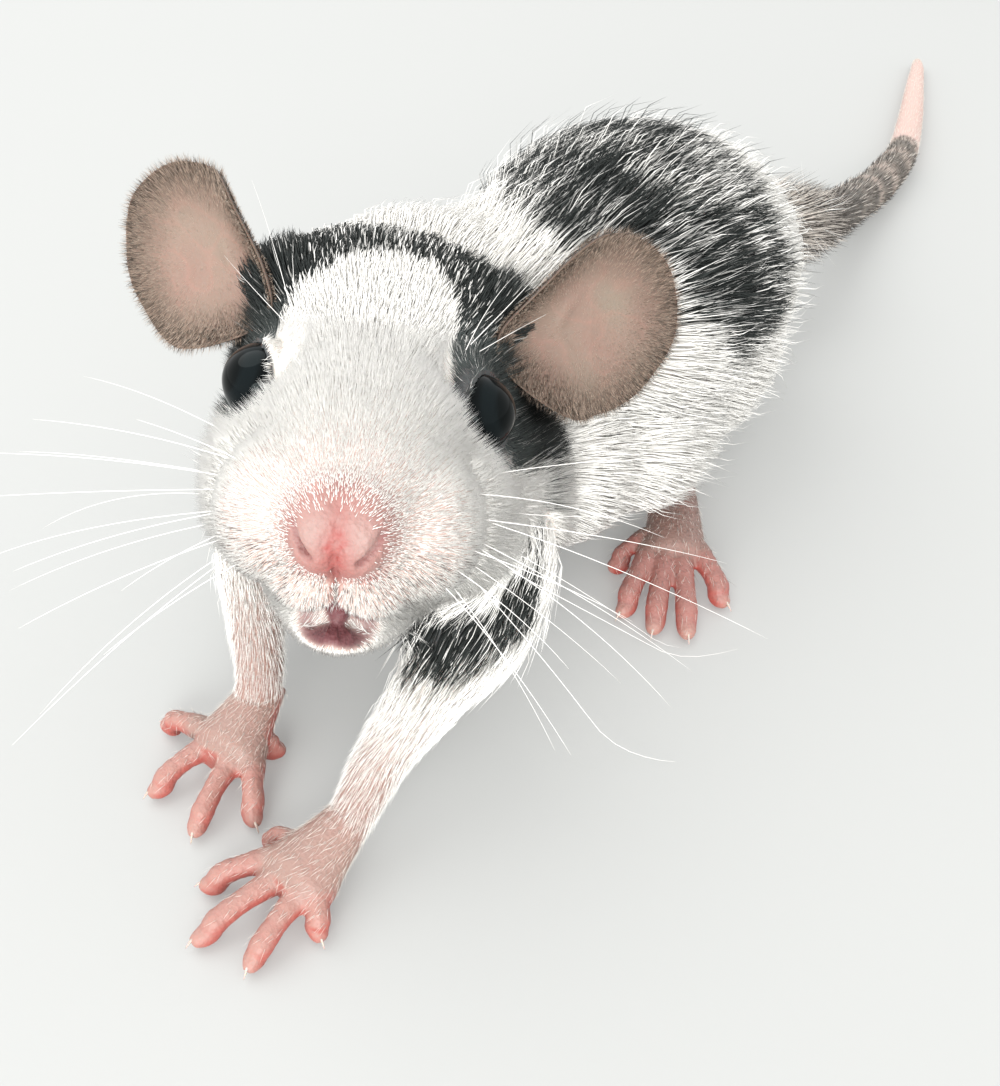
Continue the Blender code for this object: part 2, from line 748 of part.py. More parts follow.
def main():
    clear_scene()
    nodes = {}

    head = make_head()
    eyes = make_eyes(head)
    nodes["muzzle"] = make_muzzle(head)
    nodes["head"] = head
    for side, eye in zip(SIDES, eyes):
        nodes["eye_" + side] = eye
        nodes["ear_" + side] = cleared(make_ear(side), [head])
    jaw = loft("jaw", head_rings(JAW_STATIONS, 16))
    nodes["jaw"] = cleared(jaw, [nodes["muzzle"], head])
    for obj in nodes.values():
        carried(obj, head_matrix())

    flesh = [fleshy("trunk", TRUNK_STATIONS, 32), fleshy("neck", NECK_STATIONS, 28)]
    for side in SIDES:
        flesh.append(fleshy("foreleg", FORELEG_STATIONS[side], 16))
        flesh.append(ellipsoid("thigh", THIGH[side]["at"], THIGH[side]["half"]))
    body = blended("body", flesh, BODY_VOXEL, BODY_ROUNDS, BODY_KEEP)
    for side in SIDES:
        nodes["forepaw_" + side] = make_paw("forepaw_" + side, FOREPAW[side], FORE_DIGIT)
        nodes["hindpaw_" + side] = make_paw("hindpaw_" + side, HINDPAW[side], HIND_DIGIT)
    for side in SIDES:
        nodes["forearm_" + side] = parted(body, "forearm_" + side, box, *FOREARM_BOX[side])
        nodes["upper_arm_" + side] = parted(body, "upper_arm_" + side, ellipsoid, *UPPER_ARM_FORM[side])
        nodes["thigh_" + side] = parted(body, "thigh_" + side, ellipsoid, *THIGH_FORM[side])
        cleared(nodes["forearm_" + side], [nodes["forepaw_" + side]])
        cleared(nodes["thigh_" + side], [nodes["hindpaw_" + side]])
    nodes["neck"] = parted(body, "neck", box, NECK_BOX["at"], NECK_BOX["half"], facing(NECK_BOX["ahead"]))
    nodes["chest"] = parted(body, "chest", box, *CHEST_BOX)
    nodes["rump"] = body
    for name in NEAR_THE_HEAD:
        cleared(nodes[name], [nodes["head"], nodes["jaw"], nodes["muzzle"]])
    for name in ("chest", "rump"):
        cleared(nodes[name], [nodes["hindpaw_left"], nodes["hindpaw_right"]])
    for name in ("neck", "chest", "rump"):
        cleared(nodes[name], [nodes["ear_left"]])
    nodes.update(make_tail())
    cleared(nodes["tail_base"], [nodes["rump"]])

    chance = np.random.default_rng(WHISKER_SEED)
    spines = [carried(spine, head_matrix()) for side in SIDES for spine in make_whiskers(side, chance)]
    nodes["muzzle"] = joined("muzzle", [nodes["muzzle"]] + spines)

    floor = box("floor", *FLOOR_BOX)
    for name in TOUCHES_FLOOR:
        combined(nodes[name], floor, "DIFFERENCE")
    removed([floor])
    centred(nodes)
    finished(nodes)


main()
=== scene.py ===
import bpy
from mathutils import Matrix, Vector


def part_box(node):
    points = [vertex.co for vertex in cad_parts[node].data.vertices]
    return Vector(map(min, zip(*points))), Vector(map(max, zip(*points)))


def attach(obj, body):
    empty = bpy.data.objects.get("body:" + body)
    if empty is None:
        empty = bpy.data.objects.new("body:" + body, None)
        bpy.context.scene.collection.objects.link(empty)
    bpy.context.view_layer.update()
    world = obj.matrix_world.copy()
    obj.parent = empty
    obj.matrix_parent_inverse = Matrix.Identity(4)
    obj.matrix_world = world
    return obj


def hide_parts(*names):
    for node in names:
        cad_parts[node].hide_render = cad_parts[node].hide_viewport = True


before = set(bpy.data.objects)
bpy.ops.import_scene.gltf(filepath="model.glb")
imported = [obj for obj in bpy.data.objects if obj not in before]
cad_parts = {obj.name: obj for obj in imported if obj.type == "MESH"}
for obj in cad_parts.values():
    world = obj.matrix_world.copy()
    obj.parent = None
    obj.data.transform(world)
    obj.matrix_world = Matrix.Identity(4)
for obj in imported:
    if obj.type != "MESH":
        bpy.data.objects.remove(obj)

"""A young black and white pet rat at rest: skin, coat, eyes, ears, whiskers, paws and tail round the solids.

Sizes and places are millimetres in the body's own frame, as in the part's source: the rat faces -Y, its left
side is +X and its soles stand at z = 0. The head has a frame of its own: origin between the eyes, +X to its
left, -Y out through the nose, +Z up. Angles in tables are degrees.
"""

import math

import bmesh
import bpy
import numpy as np
from mathutils import Matrix, Vector

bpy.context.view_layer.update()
MM = 0.001
SIDES = {"left": 1.0, "right": -1.0}
UP = (0, 0, 1)
FAR = 1e9
SKIN_CELL, PAW_CELL = 0.52, 0.17
SEEDS = {"whiskers": 11, "coat": 31, "ear hair": 51, "tail hair": 91, "paw hair": 101}

HEAD_AT = np.array((2.9, -36, 22.8))
HEAD_TURN = (("Z", 43.4), ("X", -31.2), ("Y", 10.2))

# Head and jaw stations: place along Y, half width, top, bottom.
HEAD_STATIONS = (
    (-16.7, 1.4, -3.6, -6.2), (-15.8, 2.7, -2.7, -7.2), (-13.8, 3.7, -1.9, -8.8), (-10.6, 5.2, -0.2, -10.4),
    (-6.8, 6.4, 2.4, -11.2), (-3.2, 6.9, 4.6, -11.8), (0.6, 7.7, 6.8, -12.2), (5, 9.8, 9.2, -12.2),
    (9.5, 10.8, 10.8, -11.2), (14, 10.8, 11.2, -9.6), (18.5, 9.6, 9.6, -7.6), (22, 5.8, 5.2, -5),
)
JAW_STATIONS = (
    (-11.9, 0.8, -11.4, -12.4), (-11, 1.8, -10.8, -13.2), (-8.6, 3, -9.8, -14), (-4.5, 4.6, -9, -14.2),
    (0.5, 6, -9, -13.8), (4.5, 5.2, -9.4, -12.8),
)
HEAD_SQUARENESS = 2.35
HEAD_MIDDLE, HEAD_HALF_LENGTH = 2.5, 19.5
# Balls are centre and half sizes. On both sides of the head: whisker pad, cheek, nose pad, the hollow between
# pad and cheek, the ear's root, and the upper lip's lobe.
HEAD_BALLS = (
    ((4, -8.8, -5.8), (3.5, 5, 4.3)), ((6.6, 4.6, -5), (4.3, 6.8, 6.6)), ((1, -15.7, -5), (1.6, 1.9, 2.5)),
    ((5.6, -3, -5.6), (3.8, 6.2, 5.2)), ((6.6, 8.2, 5.6), (3.6, 4.5, 3.6)),
    ((1.5, -11.4, -8.6), (2.4, 2.5, 2.5)),
)
# The left cheek is pushed out by the shoulder behind it.
CHEEK_BULGES = (((7.4, 2.6, -6.8), (4.7, 6.6, 6.2)), ((6.2, -1.2, -7.2), (4.6, 5.8, 4.9)))
# The ribs behind each shoulder, in the body's frame.
FLANKS = (
    ((5.4, -19.5, 9.2), (7.2, 9.5, 7.2)), ((8, -13.5, 9), (6.6, 9, 6.2)), ((-9.6, -19, 9.4), (6.4, 9.5, 7)),
    ((-9.8, -12, 11), (6.4, 9, 8.6)), ((-9, -14, 15.5), (6.6, 9, 8.6)),
)
THIGHS = {"left": ((7.8, -3.5, 11.2), (5.6, 11.8, 10.2)), "right": ((-10.6, -3.5, 11.2), (5.6, 11.8, 10.2))}

EYE_AT = {"left": (6.1, -0.7, 0), "right": (6.5, -0.7, 0)}
EYE_RADIUS = 2.55
CORNEA_SWELL, CORNEA_WIDTH = 0.16, 38
EYE_LOOKS = (0.87, -0.42, 0.26)

# Trunk, neck and legs: centre, half width, half height.
TRUNK_STATIONS = (
    (0.9, 27.4, 10.1, 2.8, 2.8), (0.2, 24.6, 10.8, 3.7, 3.6), (-1, 21.5, 11.2, 5.6, 5.2),
    (-3.4, 17, 12, 8.9, 7.8), (-3.7, 10, 13.4, 12.7, 10.4), (-2.1, 0, 15, 15, 12.7),
    (-1, -9, 14.8, 14.3, 12.8), (-3.2, -17, 13.8, 12, 11.9), (-5.7, -24, 13.4, 10.5, 10.7),
    (-6.6, -30, 13, 9, 8.9), (-6.6, -33.5, 12.8, 5, 5),
)
NECK_STATIONS = (
    (-3.6, -14, 14.4, 8.4, 8.8), (-6, -19, 15, 10.8, 10.8), (-6.6, -24, 15.8, 10.8, 10.8),
    (-5, -28.5, 16.8, 8.6, 8.6),
)
FORELEG_STATIONS = {
    "left": (
        (1, -22, 13, 5, 5.4), (6.6, -29, 12.2, 5.8, 6.4), (11.4, -36.5, 10, 4.9, 5.4),
        (12.4, -42, 8, 3.3, 3.5), (12.4, -46.6, 5.7, 2.3, 2.3), (12.9, -50.2, 3.7, 1.75, 1.7),
        (13, -51.6, 3.2, 1.6, 1.6),
    ),
    "right": (
        (-7, -24, 12.6, 5.4, 6), (-9.8, -31, 10.4, 4.9, 5.8), (-9.4, -37.2, 8.4, 3.7, 4),
        (-5.4, -42, 8.4, 3, 3.2), (-1.6, -44.9, 7.3, 2.4, 2.4), (0.7, -46.9, 5, 1.9, 1.9),
        (1.3, -48.2, 3.4, 1.7, 1.6),
    ),
}

# Paws: wrist or heel, knuckles, then the tip of each digit in turn from the thumb's side out.
PAWS = {
    "forepaw_left": (
        (12.9, -50.9, 3.4), (12.6, -54.6, 1.85),
        ((8.4, -53.6), (7.9, -58.4), (10.4, -61), (14.1, -60), (15.9, -56.1)),
    ),
    "forepaw_right": (
        (1.1, -47.4, 3.5), (1.8, -51.2, 1.85),
        ((3.9, -48.6), (6.9, -53.5), (4.5, -56.5), (-0.1, -56.4), (-4.1, -52.3)),
    ),
    "hindpaw_left": (
        (7, -4.8, 2.7), (14.2, -15.4, 1.85),
        ((10.8, -19.3), (14.4, -23), (17.3, -22.9), (19.6, -21.6), (20, -16.9)),
    ),
    "hindpaw_right": (
        (-9.8, -4.8, 2.7), (-17, -15.4, 1.85),
        ((-13.6, -19.3), (-17.2, -23), (-20.1, -22.9), (-22.4, -21.6), (-22.8, -16.9)),
    ),
}
# Half width of the palm, radius of a digit's root, the thumb's root and a tip, a claw's length, and the
# heights of a tip and of a knuckle.
DIGITS = {
    "fore": {"palm": 2.45, "root": 0.88, "thumb": 0.64, "tip": 0.72, "claw": 0.62, "low": 0.70, "high": 1.9},
    "hind": {"palm": 2.25, "root": 1.02, "thumb": 0.85, "tip": 0.80, "claw": 0.7, "low": 0.78, "high": 2.0},
}
# Stations of the palm: share of the way from wrist to knuckles, share of its half width, and half height.
# PALM_END is one more, whose way is in millimetres past the knuckles.
PALM_SHAPE = ((-0.25, 0.56, 1.3), (0.0, 0.66, 1.55), (0.5, 0.88, 1.75), (1.0, 1.14, 1.95))
PALM_END = (1.4, 0.80, 1.3)
# Creases across each digit.
CREASES = 7

# Tail: centre and radius.
TAIL_STATIONS = (
    (-0.6, 20.5, 11.4, 3), (0.6, 25, 10.8, 2.9), (0.8, 29, 9.4, 2.75), (0, 36, 7, 2.6), (-1.5, 46, 4.6, 2.5),
    (-2.9, 56.5, 2.5, 2.45), (-3.8, 63.5, 2.25, 2.3), (-5.4, 71.2, 2, 2.05), (-9.6, 83.2, 1.75, 1.8),
    (-14.4, 95.6, 1.4, 1.45), (-18, 105, 1.05, 1.1), (-19.7, 109, 0.8, 0.75),
)

# Ears in the head's frame, given for the left side: foot, ways it grows and faces, sizes, fold at the foot.
EARS = {
    "left": {
        "at": (8.5, 4.4, 4.3), "grows": (0.843, 0.446, 0.300), "faces": (0.524, -0.826, -0.209),
        "length": 13.4, "width": 13.0, "fold": 2.1,
    },
    "right": {
        "at": (8.6, 4.9, 4.8), "grows": (0.796, 0.512, 0.323), "faces": (0.514, -0.847, -0.136),
        "length": 13.0, "width": 12.2, "fold": 1.6,
    },
}

# Camera: place, turn about the upright, fall below the level, and focal length in pixels of the photo.
CAMERA_AT = (43.2, -72, 60.5)
CAMERA_AZIMUTH, CAMERA_FALL, CAMERA_FOCAL = 40.0, 43.0, 1050.0
PICTURE_HEIGHT = 1086.0

# Colours, linear. Those of hair are at the root and at the tip.
WHITE_HAIR = ((0.97, 0.95, 0.91), (0.985, 0.975, 0.95))
BLACK_HAIR = ((0.012, 0.014, 0.014), (0.042, 0.048, 0.046))
GREY_HAIR = ((0.30, 0.30, 0.285), (0.62, 0.61, 0.59))
SPECK_HAIR = (0.22, 0.17, 0.16)
EAR_HAIR_PALE = ((0.44, 0.33, 0.26), (0.55, 0.45, 0.37))
EAR_HAIR_DARK = ((0.040, 0.032, 0.026), (0.10, 0.082, 0.068))
# Each hair takes one of these two shades.
PAW_HAIR = ((0.30, 0.27, 0.25), (0.80, 0.74, 0.68))
TAIL_HAIR = ((0.72, 0.66, 0.60), (0.07, 0.062, 0.055))
# Skin, eyes, ears, paws and tail.
PALE_SKIN = (0.80, 0.745, 0.69)
FACE_SKIN = (0.64, 0.46, 0.405)
NOSE_SKIN = (0.34, 0.175, 0.155)
DARK_SKIN = (0.058, 0.060, 0.061)
# Painted shade: the nose's pink darkened below the pad's lower lobes and along the philtrum's groove.
SHADED_PINK = (0.34, 0.11, 0.10)
# Painted shade inside the nostril slits.
NOSTRIL_SHADE = (0.22, 0.065, 0.065)
PALE_PINK = (0.37, 0.258, 0.232)
RED_PINK = (0.34, 0.09, 0.08)
# The lips' own dark red, deepened as painted shade of the mouth's opening.
MOUTH_SKIN_AND_SHADE = (0.15, 0.05, 0.055)
PAW_SKIN = (0.31, 0.195, 0.165)
BLACK_EYE, IRIS = (0.0012, 0.0016, 0.0018), (0.004, 0.006, 0.007)
EAR_MIDDLE, EAR_FLUSH = (0.27, 0.172, 0.138), (0.262, 0.197, 0.155)
EAR_RIM, EAR_VEIN = (0.125, 0.088, 0.064), (0.42, 0.20, 0.16)
EAR_BACK, EAR_BACK_RIM = (0.13, 0.10, 0.085), (0.08, 0.06, 0.05)
# Painted shadow of the body on a hind foot, darker away from the digits' tips.
HIND_FOOT_SHADOW = (0.22, 0.135, 0.115)
DIGIT_SKIN = {"fore": (0.36, 0.19, 0.16), "hind": (0.31, 0.145, 0.125)}
# Of the next three, the first is the skin's own deep red between the digits, darkened as painted shade on
# faces turned away from above, and the last is painted shade in the grooves of the digits' creases.
RED_SHADE_BETWEEN_DIGITS, DIGIT_TIP, DIGIT_CREASE_SHADE = (0.37, 0.065, 0.05), (0.38, 0.25, 0.21), (0.36, 0.14, 0.12)
BETWEEN_SHADE_SHARE = {"fore": 0.8, "hind": 0.95}
TAIL_DARK, TAIL_DARKER = (0.17, 0.145, 0.12), (0.10, 0.088, 0.075)
TAIL_BAND, TAIL_PINK = (0.42, 0.35, 0.30), (0.60, 0.43, 0.38)


# Maths on arrays


def unit(v):
    """A vector, or rows of vectors, at length 1."""
    v = np.asarray(v, float)
    return v / np.maximum(np.linalg.norm(v, axis=-1, keepdims=True), 1e-9)


def size(v):
    """The length of each row."""
    return np.linalg.norm(v, axis=-1)


def bell(x, width):
    """exp(-(x / width)^2)."""
    return np.exp(-((x / width) ** 2))


def smooth(x, low, high):
    """0 below low, 1 above high, and 3t^2 - 2t^3 between."""
    t = np.clip((np.asarray(x, float) - low) / (high - low), 0, 1)
    return t * t * (3 - 2 * t)


def along(x, table):
    """Linear reading of a table of (x, value) rows."""
    return np.interp(x, *np.array(table, float).T)


def mixed(a, b, share):
    """a where the share is 0, b where it is 1."""
    share = np.asarray(share)[..., None]
    return np.asarray(a) * (1 - share) + np.asarray(b) * share


def layered(base, layers):
    """Each (colour, share) in turn covers what lies below it by its share."""
    for colour, share in layers:
        base = mixed(base, colour, share)
    return base


def ripple(p, scale, seed):
    """Smooth chance over space in about -1..1: a mean of ten sine waves of one length in drawn directions."""
    draw = np.random.default_rng(seed)
    waves = unit(draw.normal(size=(10, 3))) * (2 * np.pi / scale) * draw.uniform(0.7, 1.4, (10, 1))
    return np.sin(p @ waves.T + draw.uniform(0, 2 * np.pi, 10)).mean(1) * 2.2


def pressed(lie, normal):
    """Directions laid flat on the surface with these normals."""
    return unit(lie - normal * (lie * normal).sum(1, keepdims=True))


def degrees_from(way, look):
    """The angle between each way and one direction."""
    return np.degrees(np.arccos(np.clip(way @ look, -1, 1)))


# The head's axes, as the columns of a matrix.
HEAD = Matrix.Identity(3)
for axis, degrees in HEAD_TURN:
    HEAD = HEAD @ Matrix.Rotation(math.radians(degrees), 3, axis)
HEAD = np.array(HEAD)


def from_head(h):
    return HEAD_AT + np.asarray(h, float) @ HEAD.T


def to_head(p):
    return (np.asarray(p, float) - HEAD_AT) @ HEAD


def sided(at, side):
    """A place or direction given for the left, on either side."""
    return np.asarray(at, float) * (SIDES[side], 1, 1)


def eye_of(side):
    """The middle of an eye and the way it looks, in the head's frame."""
    return sided(EYE_AT[side], side), unit(sided(EYE_LOOKS, side))


# The solids stand in the scene where the eye says: SHIFT takes the body's frame there.
SHIFT = np.mean(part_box("eye_left"), 0) / MM - from_head(EYE_AT["left"])


def spline(stations, per):
    """A Catmull-Rom curve through every column of the stations, with per samples between two of them."""
    p = np.asarray(stations, float)
    p = np.vstack([2 * p[0] - p[1], p, 2 * p[-1] - p[-2]])
    t = np.linspace(0, 1, per, endpoint=False)[None, :, None]
    a, b, c, d = (p[k : len(p) - 3 + k, None] for k in range(4))
    rows = 0.5 * (2 * b + (c - a) * t + (2 * a - 5 * b + 4 * c - d) * t**2 + (3 * b - a - 3 * c + d) * t**3)
    return np.vstack([rows.reshape(-1, p.shape[1]), p[-2]])


def between(curve, rows):
    """The curve read at rows that aren't whole numbers, and the whole row before each."""
    k = np.clip(rows.astype(int), 0, len(curve) - 2)
    f = (rows - k)[:, None]
    return curve[k] * (1 - f) + curve[k + 1] * f, k


def travelled(points):
    """How far each point of a line is along it."""
    return np.concatenate([[0], np.cumsum(size(np.diff(points, axis=0)))])


def turns(count):
    return np.linspace(0, 2 * np.pi, count, endpoint=False)


def rings_along(curve, sides):
    """Ellipses across a curve of centres and one or two half sizes: centre + w cos a across + h sin a up."""
    centre = curve[:, :3]
    ahead = unit(np.gradient(centre, axis=0))
    across = unit(np.cross(UP, ahead))
    a = turns(sides)[None, :, None]
    wide = curve[:, None, 3:4] * across[:, None]
    high = curve[:, None, -1:] * np.cross(ahead, across)[:, None]
    return centre[:, None] + wide * np.cos(a) + high * np.sin(a)


def head_rings(stations, sides):
    """Superellipses round the head's axis, whose power is HEAD_SQUARENESS, in the body's frame."""
    y, wide, top, low = spline(stations, 4).T[..., None]
    cos, sin = np.cos(turns(sides))[None], np.sin(turns(sides))[None]
    power = 2 / HEAD_SQUARENESS
    x = wide * np.sign(cos) * np.abs(cos) ** power
    z = (top + low) / 2 + (top - low) / 2 * np.sign(sin) * np.abs(sin) ** power
    return from_head(np.stack([x, np.repeat(y, sides, 1), z], 2))


def ball_rings(at, half, rows=20, sides=36):
    """An ellipsoid as rings: latitude runs down the rows and longitude round the sides."""
    lat = np.linspace(-np.pi / 2, np.pi / 2, rows + 2)[1:-1, None]
    lon = turns(sides)[None]
    ring = np.stack([np.cos(lat) * np.cos(lon), np.cos(lat) * np.sin(lon), np.sin(lat) + 0 * lon], 2)
    return np.asarray(at) + ring * np.asarray(half)


def tube_faces(rows, sides):
    """Triangles between neighbouring rings."""
    r, i = np.meshgrid(np.arange(rows - 1), np.arange(sides), indexing="ij")
    a, b = (r * sides + i).ravel(), (r * sides + (i + 1) % sides).ravel()
    return np.vstack([np.stack([a, b, b + sides], 1), np.stack([a, b + sides, a + sides], 1)])


def closed(rings):
    """Rings as points and triangles that face outwards, with a fan over each end."""
    rows, sides, _ = rings.shape
    i, last = np.arange(sides), (rows - 1) * sides
    j, pole = (i + 1) % sides, np.full(sides, rows * sides)
    fans = np.stack([j, i, pole], 1), np.stack([last + i, last + j, pole + 1], 1)
    tris = np.vstack([tube_faces(rows, sides), *fans])
    points = np.vstack([rings.reshape(-1, 3), rings[0].mean(0), rings[-1].mean(0)])
    a, b, c = points[tris].transpose(1, 0, 2)
    return points, tris[:, ::-1] if (a * np.cross(b, c)).sum() < 0 else tris


def tube(stations, sides):
    return closed(rings_along(spline(stations, 4), sides))


def together(shapes):
    """Several (points, faces) shapes as one."""
    starts = np.cumsum([0] + [len(p) for p, _ in shapes[:-1]])
    return np.vstack([p for p, _ in shapes]), np.vstack([f + s for s, (_, f) in zip(starts, shapes)])


def repeated(faces, count, step):
    """The faces of one shape for count shapes that follow each other, with step points each."""
    return (faces[None] + (np.arange(count) * step)[:, None, None]).reshape(-1, 3)


# Meshes


def scene_values(points):
    """Points of the body's frame as the numbers that a mesh stores."""
    return ((points + SHIFT) * MM).astype(np.float32).ravel()


def mesh_from(name, points, faces):
    """An object from points in millimetres of the body's frame and faces of one size, with smooth shading."""
    mesh = bpy.data.meshes.new(name)
    count, corners = faces.shape
    mesh.vertices.add(len(points))
    mesh.vertices.foreach_set("co", scene_values(points))
    mesh.loops.add(count * corners)
    mesh.loops.foreach_set("vertex_index", faces.astype(np.int32).ravel())
    mesh.polygons.add(count)
    mesh.polygons.foreach_set("loop_start", np.arange(0, count * corners, corners, dtype=np.int32))
    mesh.polygons.foreach_set("use_smooth", np.ones(count, bool))
    mesh.update(calc_edges=True)
    obj = bpy.data.objects.new(name, mesh)
    bpy.context.scene.collection.objects.link(obj)
    return obj


def threes(items, key, kind=np.float32):
    """A field of three numbers of each item, as rows."""
    out = np.empty(len(items) * 3, kind)
    items.foreach_get(key, out)
    return out.reshape(-1, 3)


def points_of(mesh):
    """A mesh's points in millimetres of the body's frame."""
    return threes(mesh.vertices, "co").astype(float) / MM - SHIFT


def normals_of(mesh):
    return threes(mesh.vertex_normals, "vector").astype(float)


def moved_to(mesh, points):
    mesh.vertices.foreach_set("co", scene_values(points))
    mesh.update()


def painted(obj, colours, name="Coat"):
    """Stores one colour a point, where the finish reads it."""
    layer = obj.data.color_attributes.new(name, "FLOAT_COLOR", "POINT")
    rgba = np.ones((len(colours), 4), np.float32)
    rgba[:, :3] = np.clip(colours, 0, 1)
    layer.data.foreach_set("color", rgba.ravel())


def fused(name, shapes, voxel, rounds):
    """Overlapping closed shapes as one skin: remeshed in cells of one size, then relaxed."""
    obj = mesh_from(name, *together(shapes))
    remesh = obj.modifiers.new("Remesh", "REMESH")
    remesh.mode, remesh.voxel_size, remesh.use_smooth_shade = "VOXEL", voxel * MM, True
    relax = obj.modifiers.new("Relax", "SMOOTH")
    relax.factor, relax.iterations = 0.5, rounds
    mesh = bpy.data.meshes.new_from_object(obj.evaluated_get(bpy.context.evaluated_depsgraph_get()))
    obj.modifiers.clear()
    obj.data = mesh
    return obj


def refined(mesh, wanted, rounds):
    """Halves the cells where wanted(places in the head's frame) says so, then relaxes the new ones."""
    bm = bmesh.new()
    bm.from_mesh(mesh)
    chosen = [v for v, keep in zip(bm.verts, wanted(to_head(points_of(mesh)))) if keep]
    edges = list({e for v in chosen for e in v.link_edges})
    bmesh.ops.subdivide_edges(bm, edges=edges, cuts=1, use_grid_fill=True)
    bm.to_mesh(mesh)
    soft = [v for v, keep in zip(bm.verts, wanted(to_head(points_of(mesh)))) if keep]
    for _ in range(rounds):
        bmesh.ops.smooth_vert(bm, verts=soft, factor=0.5, use_axis_x=True, use_axis_y=True, use_axis_z=True)
    bmesh.ops.triangulate(bm, faces=[f for f in bm.faces if len(f.verts) > 4])
    bm.to_mesh(mesh)
    bm.free()
    mesh.update()


# Where a point belongs


def head_level(h):
    """The head's superellipse norm at points of its frame: below 1 inside, 1 on the surface."""
    x, y, z = h.T
    place, *edges = np.array(HEAD_STATIONS).T
    wide, top, low = (np.interp(y, place, edge) for edge in edges)
    side = (np.abs(x) / wide) ** HEAD_SQUARENESS
    high = (np.abs(z - (top + low) / 2) / ((top - low) / 2)) ** HEAD_SQUARENESS
    ends = (np.abs(y - HEAD_MIDDLE) / HEAD_HALF_LENGTH) ** 8
    return (side + high + ends) ** (1 / HEAD_SQUARENESS)


def least(found):
    """Of several pairs of a level and a share, the least level at each point and the share beside it."""
    best, where = FAR, 0.0
    for level, share in found:
        near = level < best
        best, where = np.where(near, level, best), np.where(near, share, where)
    return best, where


def tube_level(p, stations):
    """Distance from a limb's axis over its half size, and the share of the way along it, at each point."""
    curve = spline(stations, 5)
    shares = np.arange(len(curve)) / (len(curve) - 1)
    return least((size(p - row[:3]) / ((row[3] + row[4]) / 2), share) for row, share in zip(curve, shares))


def belongs(p):
    """How much each point belongs to head, trunk and forelegs, and its share of the way down each leg."""
    levels, shares = [head_level(to_head(p)), tube_level(p, TRUNK_STATIONS)[0]], []
    for stations in FORELEG_STATIONS.values():
        level, share = tube_level(p, stations)
        levels.append(level + 3 * smooth(0.30 - share, 0, 0.3))
        shares.append(share)
    levels = np.array(levels)
    weight = np.exp(-9 * (levels - levels.min(0)))
    return weight / weight.sum(0), shares


def to_eyes(h):
    """Distance to the nearer eye's middle, and the way out from the line it looks along."""
    both = []
    for side in SIDES:
        at, look = eye_of(side)
        v = h - at
        both.append((size(v), unit(v - look * (v @ look)[:, None])))
    (left, left_way), (right, right_way) = both
    near = left < right
    return np.where(near, left, right), np.where(near[:, None], left_way, right_way)


def round_trunk(p):
    """The angle round the trunk's axis, from the back's middle towards the left."""
    return np.arctan2(p[:, 0] - SADDLE_AXIS[0], p[:, 2] - SADDLE_AXIS[1])


def to_segments(p, line):
    """The least distance from each point to a line of several segments."""
    line = np.asarray(line, float)
    best = np.full(len(p), FAR)
    for a, b in zip(line, line[1:]):
        t = np.clip(((p - a) @ (b - a)) / ((b - a) @ (b - a)), 0, 1)[:, None]
        best = np.minimum(best, size(p - a - t * (b - a)))
    return best


# How deep the skin lies under the tips of the coat: by place along the head, and by share of the foreleg.
HEAD_DEPTH = ((-17.5, 0), (-14.5, 0.03), (-12, 0.2), (-9, 0.4), (-4, 0.6), (3, 0.8), (20, 1.1))
LEG_DEPTH = ((0, 1.4), (0.45, 1), (0.7, 0.4), (0.9, 0.15), (1, 0.1))
TRUNK_DEPTH = 1.7


def coat_depth(p):
    """The depth of the skin at each point."""
    weight, shares = belongs(p)
    h = to_head(p)
    head = along(h[:, 1], HEAD_DEPTH) * (0.25 + 0.75 * smooth(to_eyes(h)[0], 3.0, 6.5))
    depths = head, TRUNK_DEPTH, *(along(share, LEG_DEPTH) for share in shares)
    return sum(w * depth for w, depth in zip(weight, depths))


# Markings

# On each side of the head: place along Y of the white blaze's edge by X, and height of the band's lower
# edge by Y.
BLAZE_EDGE = {
    "left": ((0, 5), (2.4, 4.6), (3.3, 3), (4.2, 1.4), (4.5, -1.2), (4.9, -4.8), (6.3, -5.6), (14, -4.4)),
    "right": ((0, 5), (2.9, 4.2), (4.6, 3.4), (6.2, 2.6), (6.9, -0.4), (7.3, -2.2), (14, -2.6)),
}
BAND_LOW = {
    "left": ((-6, -0.2), (-4, -1.6), (-1.5, -2.8), (1.5, -3.4), (5, -3.2), (12, -2.4)),
    "right": ((-6, 2), (-3, 0.4), (-1, -1.4), (2, -2.4), (6, -3.2), (12, -5)),
}
# Place along Y of the band's back edge by X, then the lines that two patches behind the head follow.
BAND_BACK = ((0, 9.2), (3.3, 9.5), (6.9, 10.6), (9, 13), (14, 14))
THROAT_PATCH = ((11.2, -42.6, 11.7), (13.6, -40.3, 12.2), (14.4, -37.2, 12.6), (14.2, -34.6, 13))
NECK_LINK = ((14, -34, 13.4), (12.4, -30, 15.6), (10.2, -27, 17.6))
# The saddle: its axis, its edges along Y by the angle round it, its two ends, and its darker spots with
# their sizes.
SADDLE_AXIS = (-2.0, 14.5)
SADDLE_FRONT = (
    (-95, -5), (-70, -7.2), (-45, -10), (-20, -13.8), (0, -16.4), (20, -17.2), (40, -14.4),
    (62, -12.4), (90, -9),
)
SADDLE_BACK = ((-95, 1), (-60, 3), (-20, 3.6), (15, 3.6), (40, 2.4), (60, 1.2), (90, -1))
SADDLE_RIGHT, SADDLE_LEFT = -74.0, 84.0
DARK_SPOTS = (
    ((0.2, -10.5, 27.3), 3), ((9, -7, 24), 2.8), ((12.2, -6.5, 19.6), 3.2), ((-6, -2, 27.4), 3.4),
    ((-1.5, -0.5, 27.7), 2.6), ((11.4, -1.2, 21), 2.4),
)


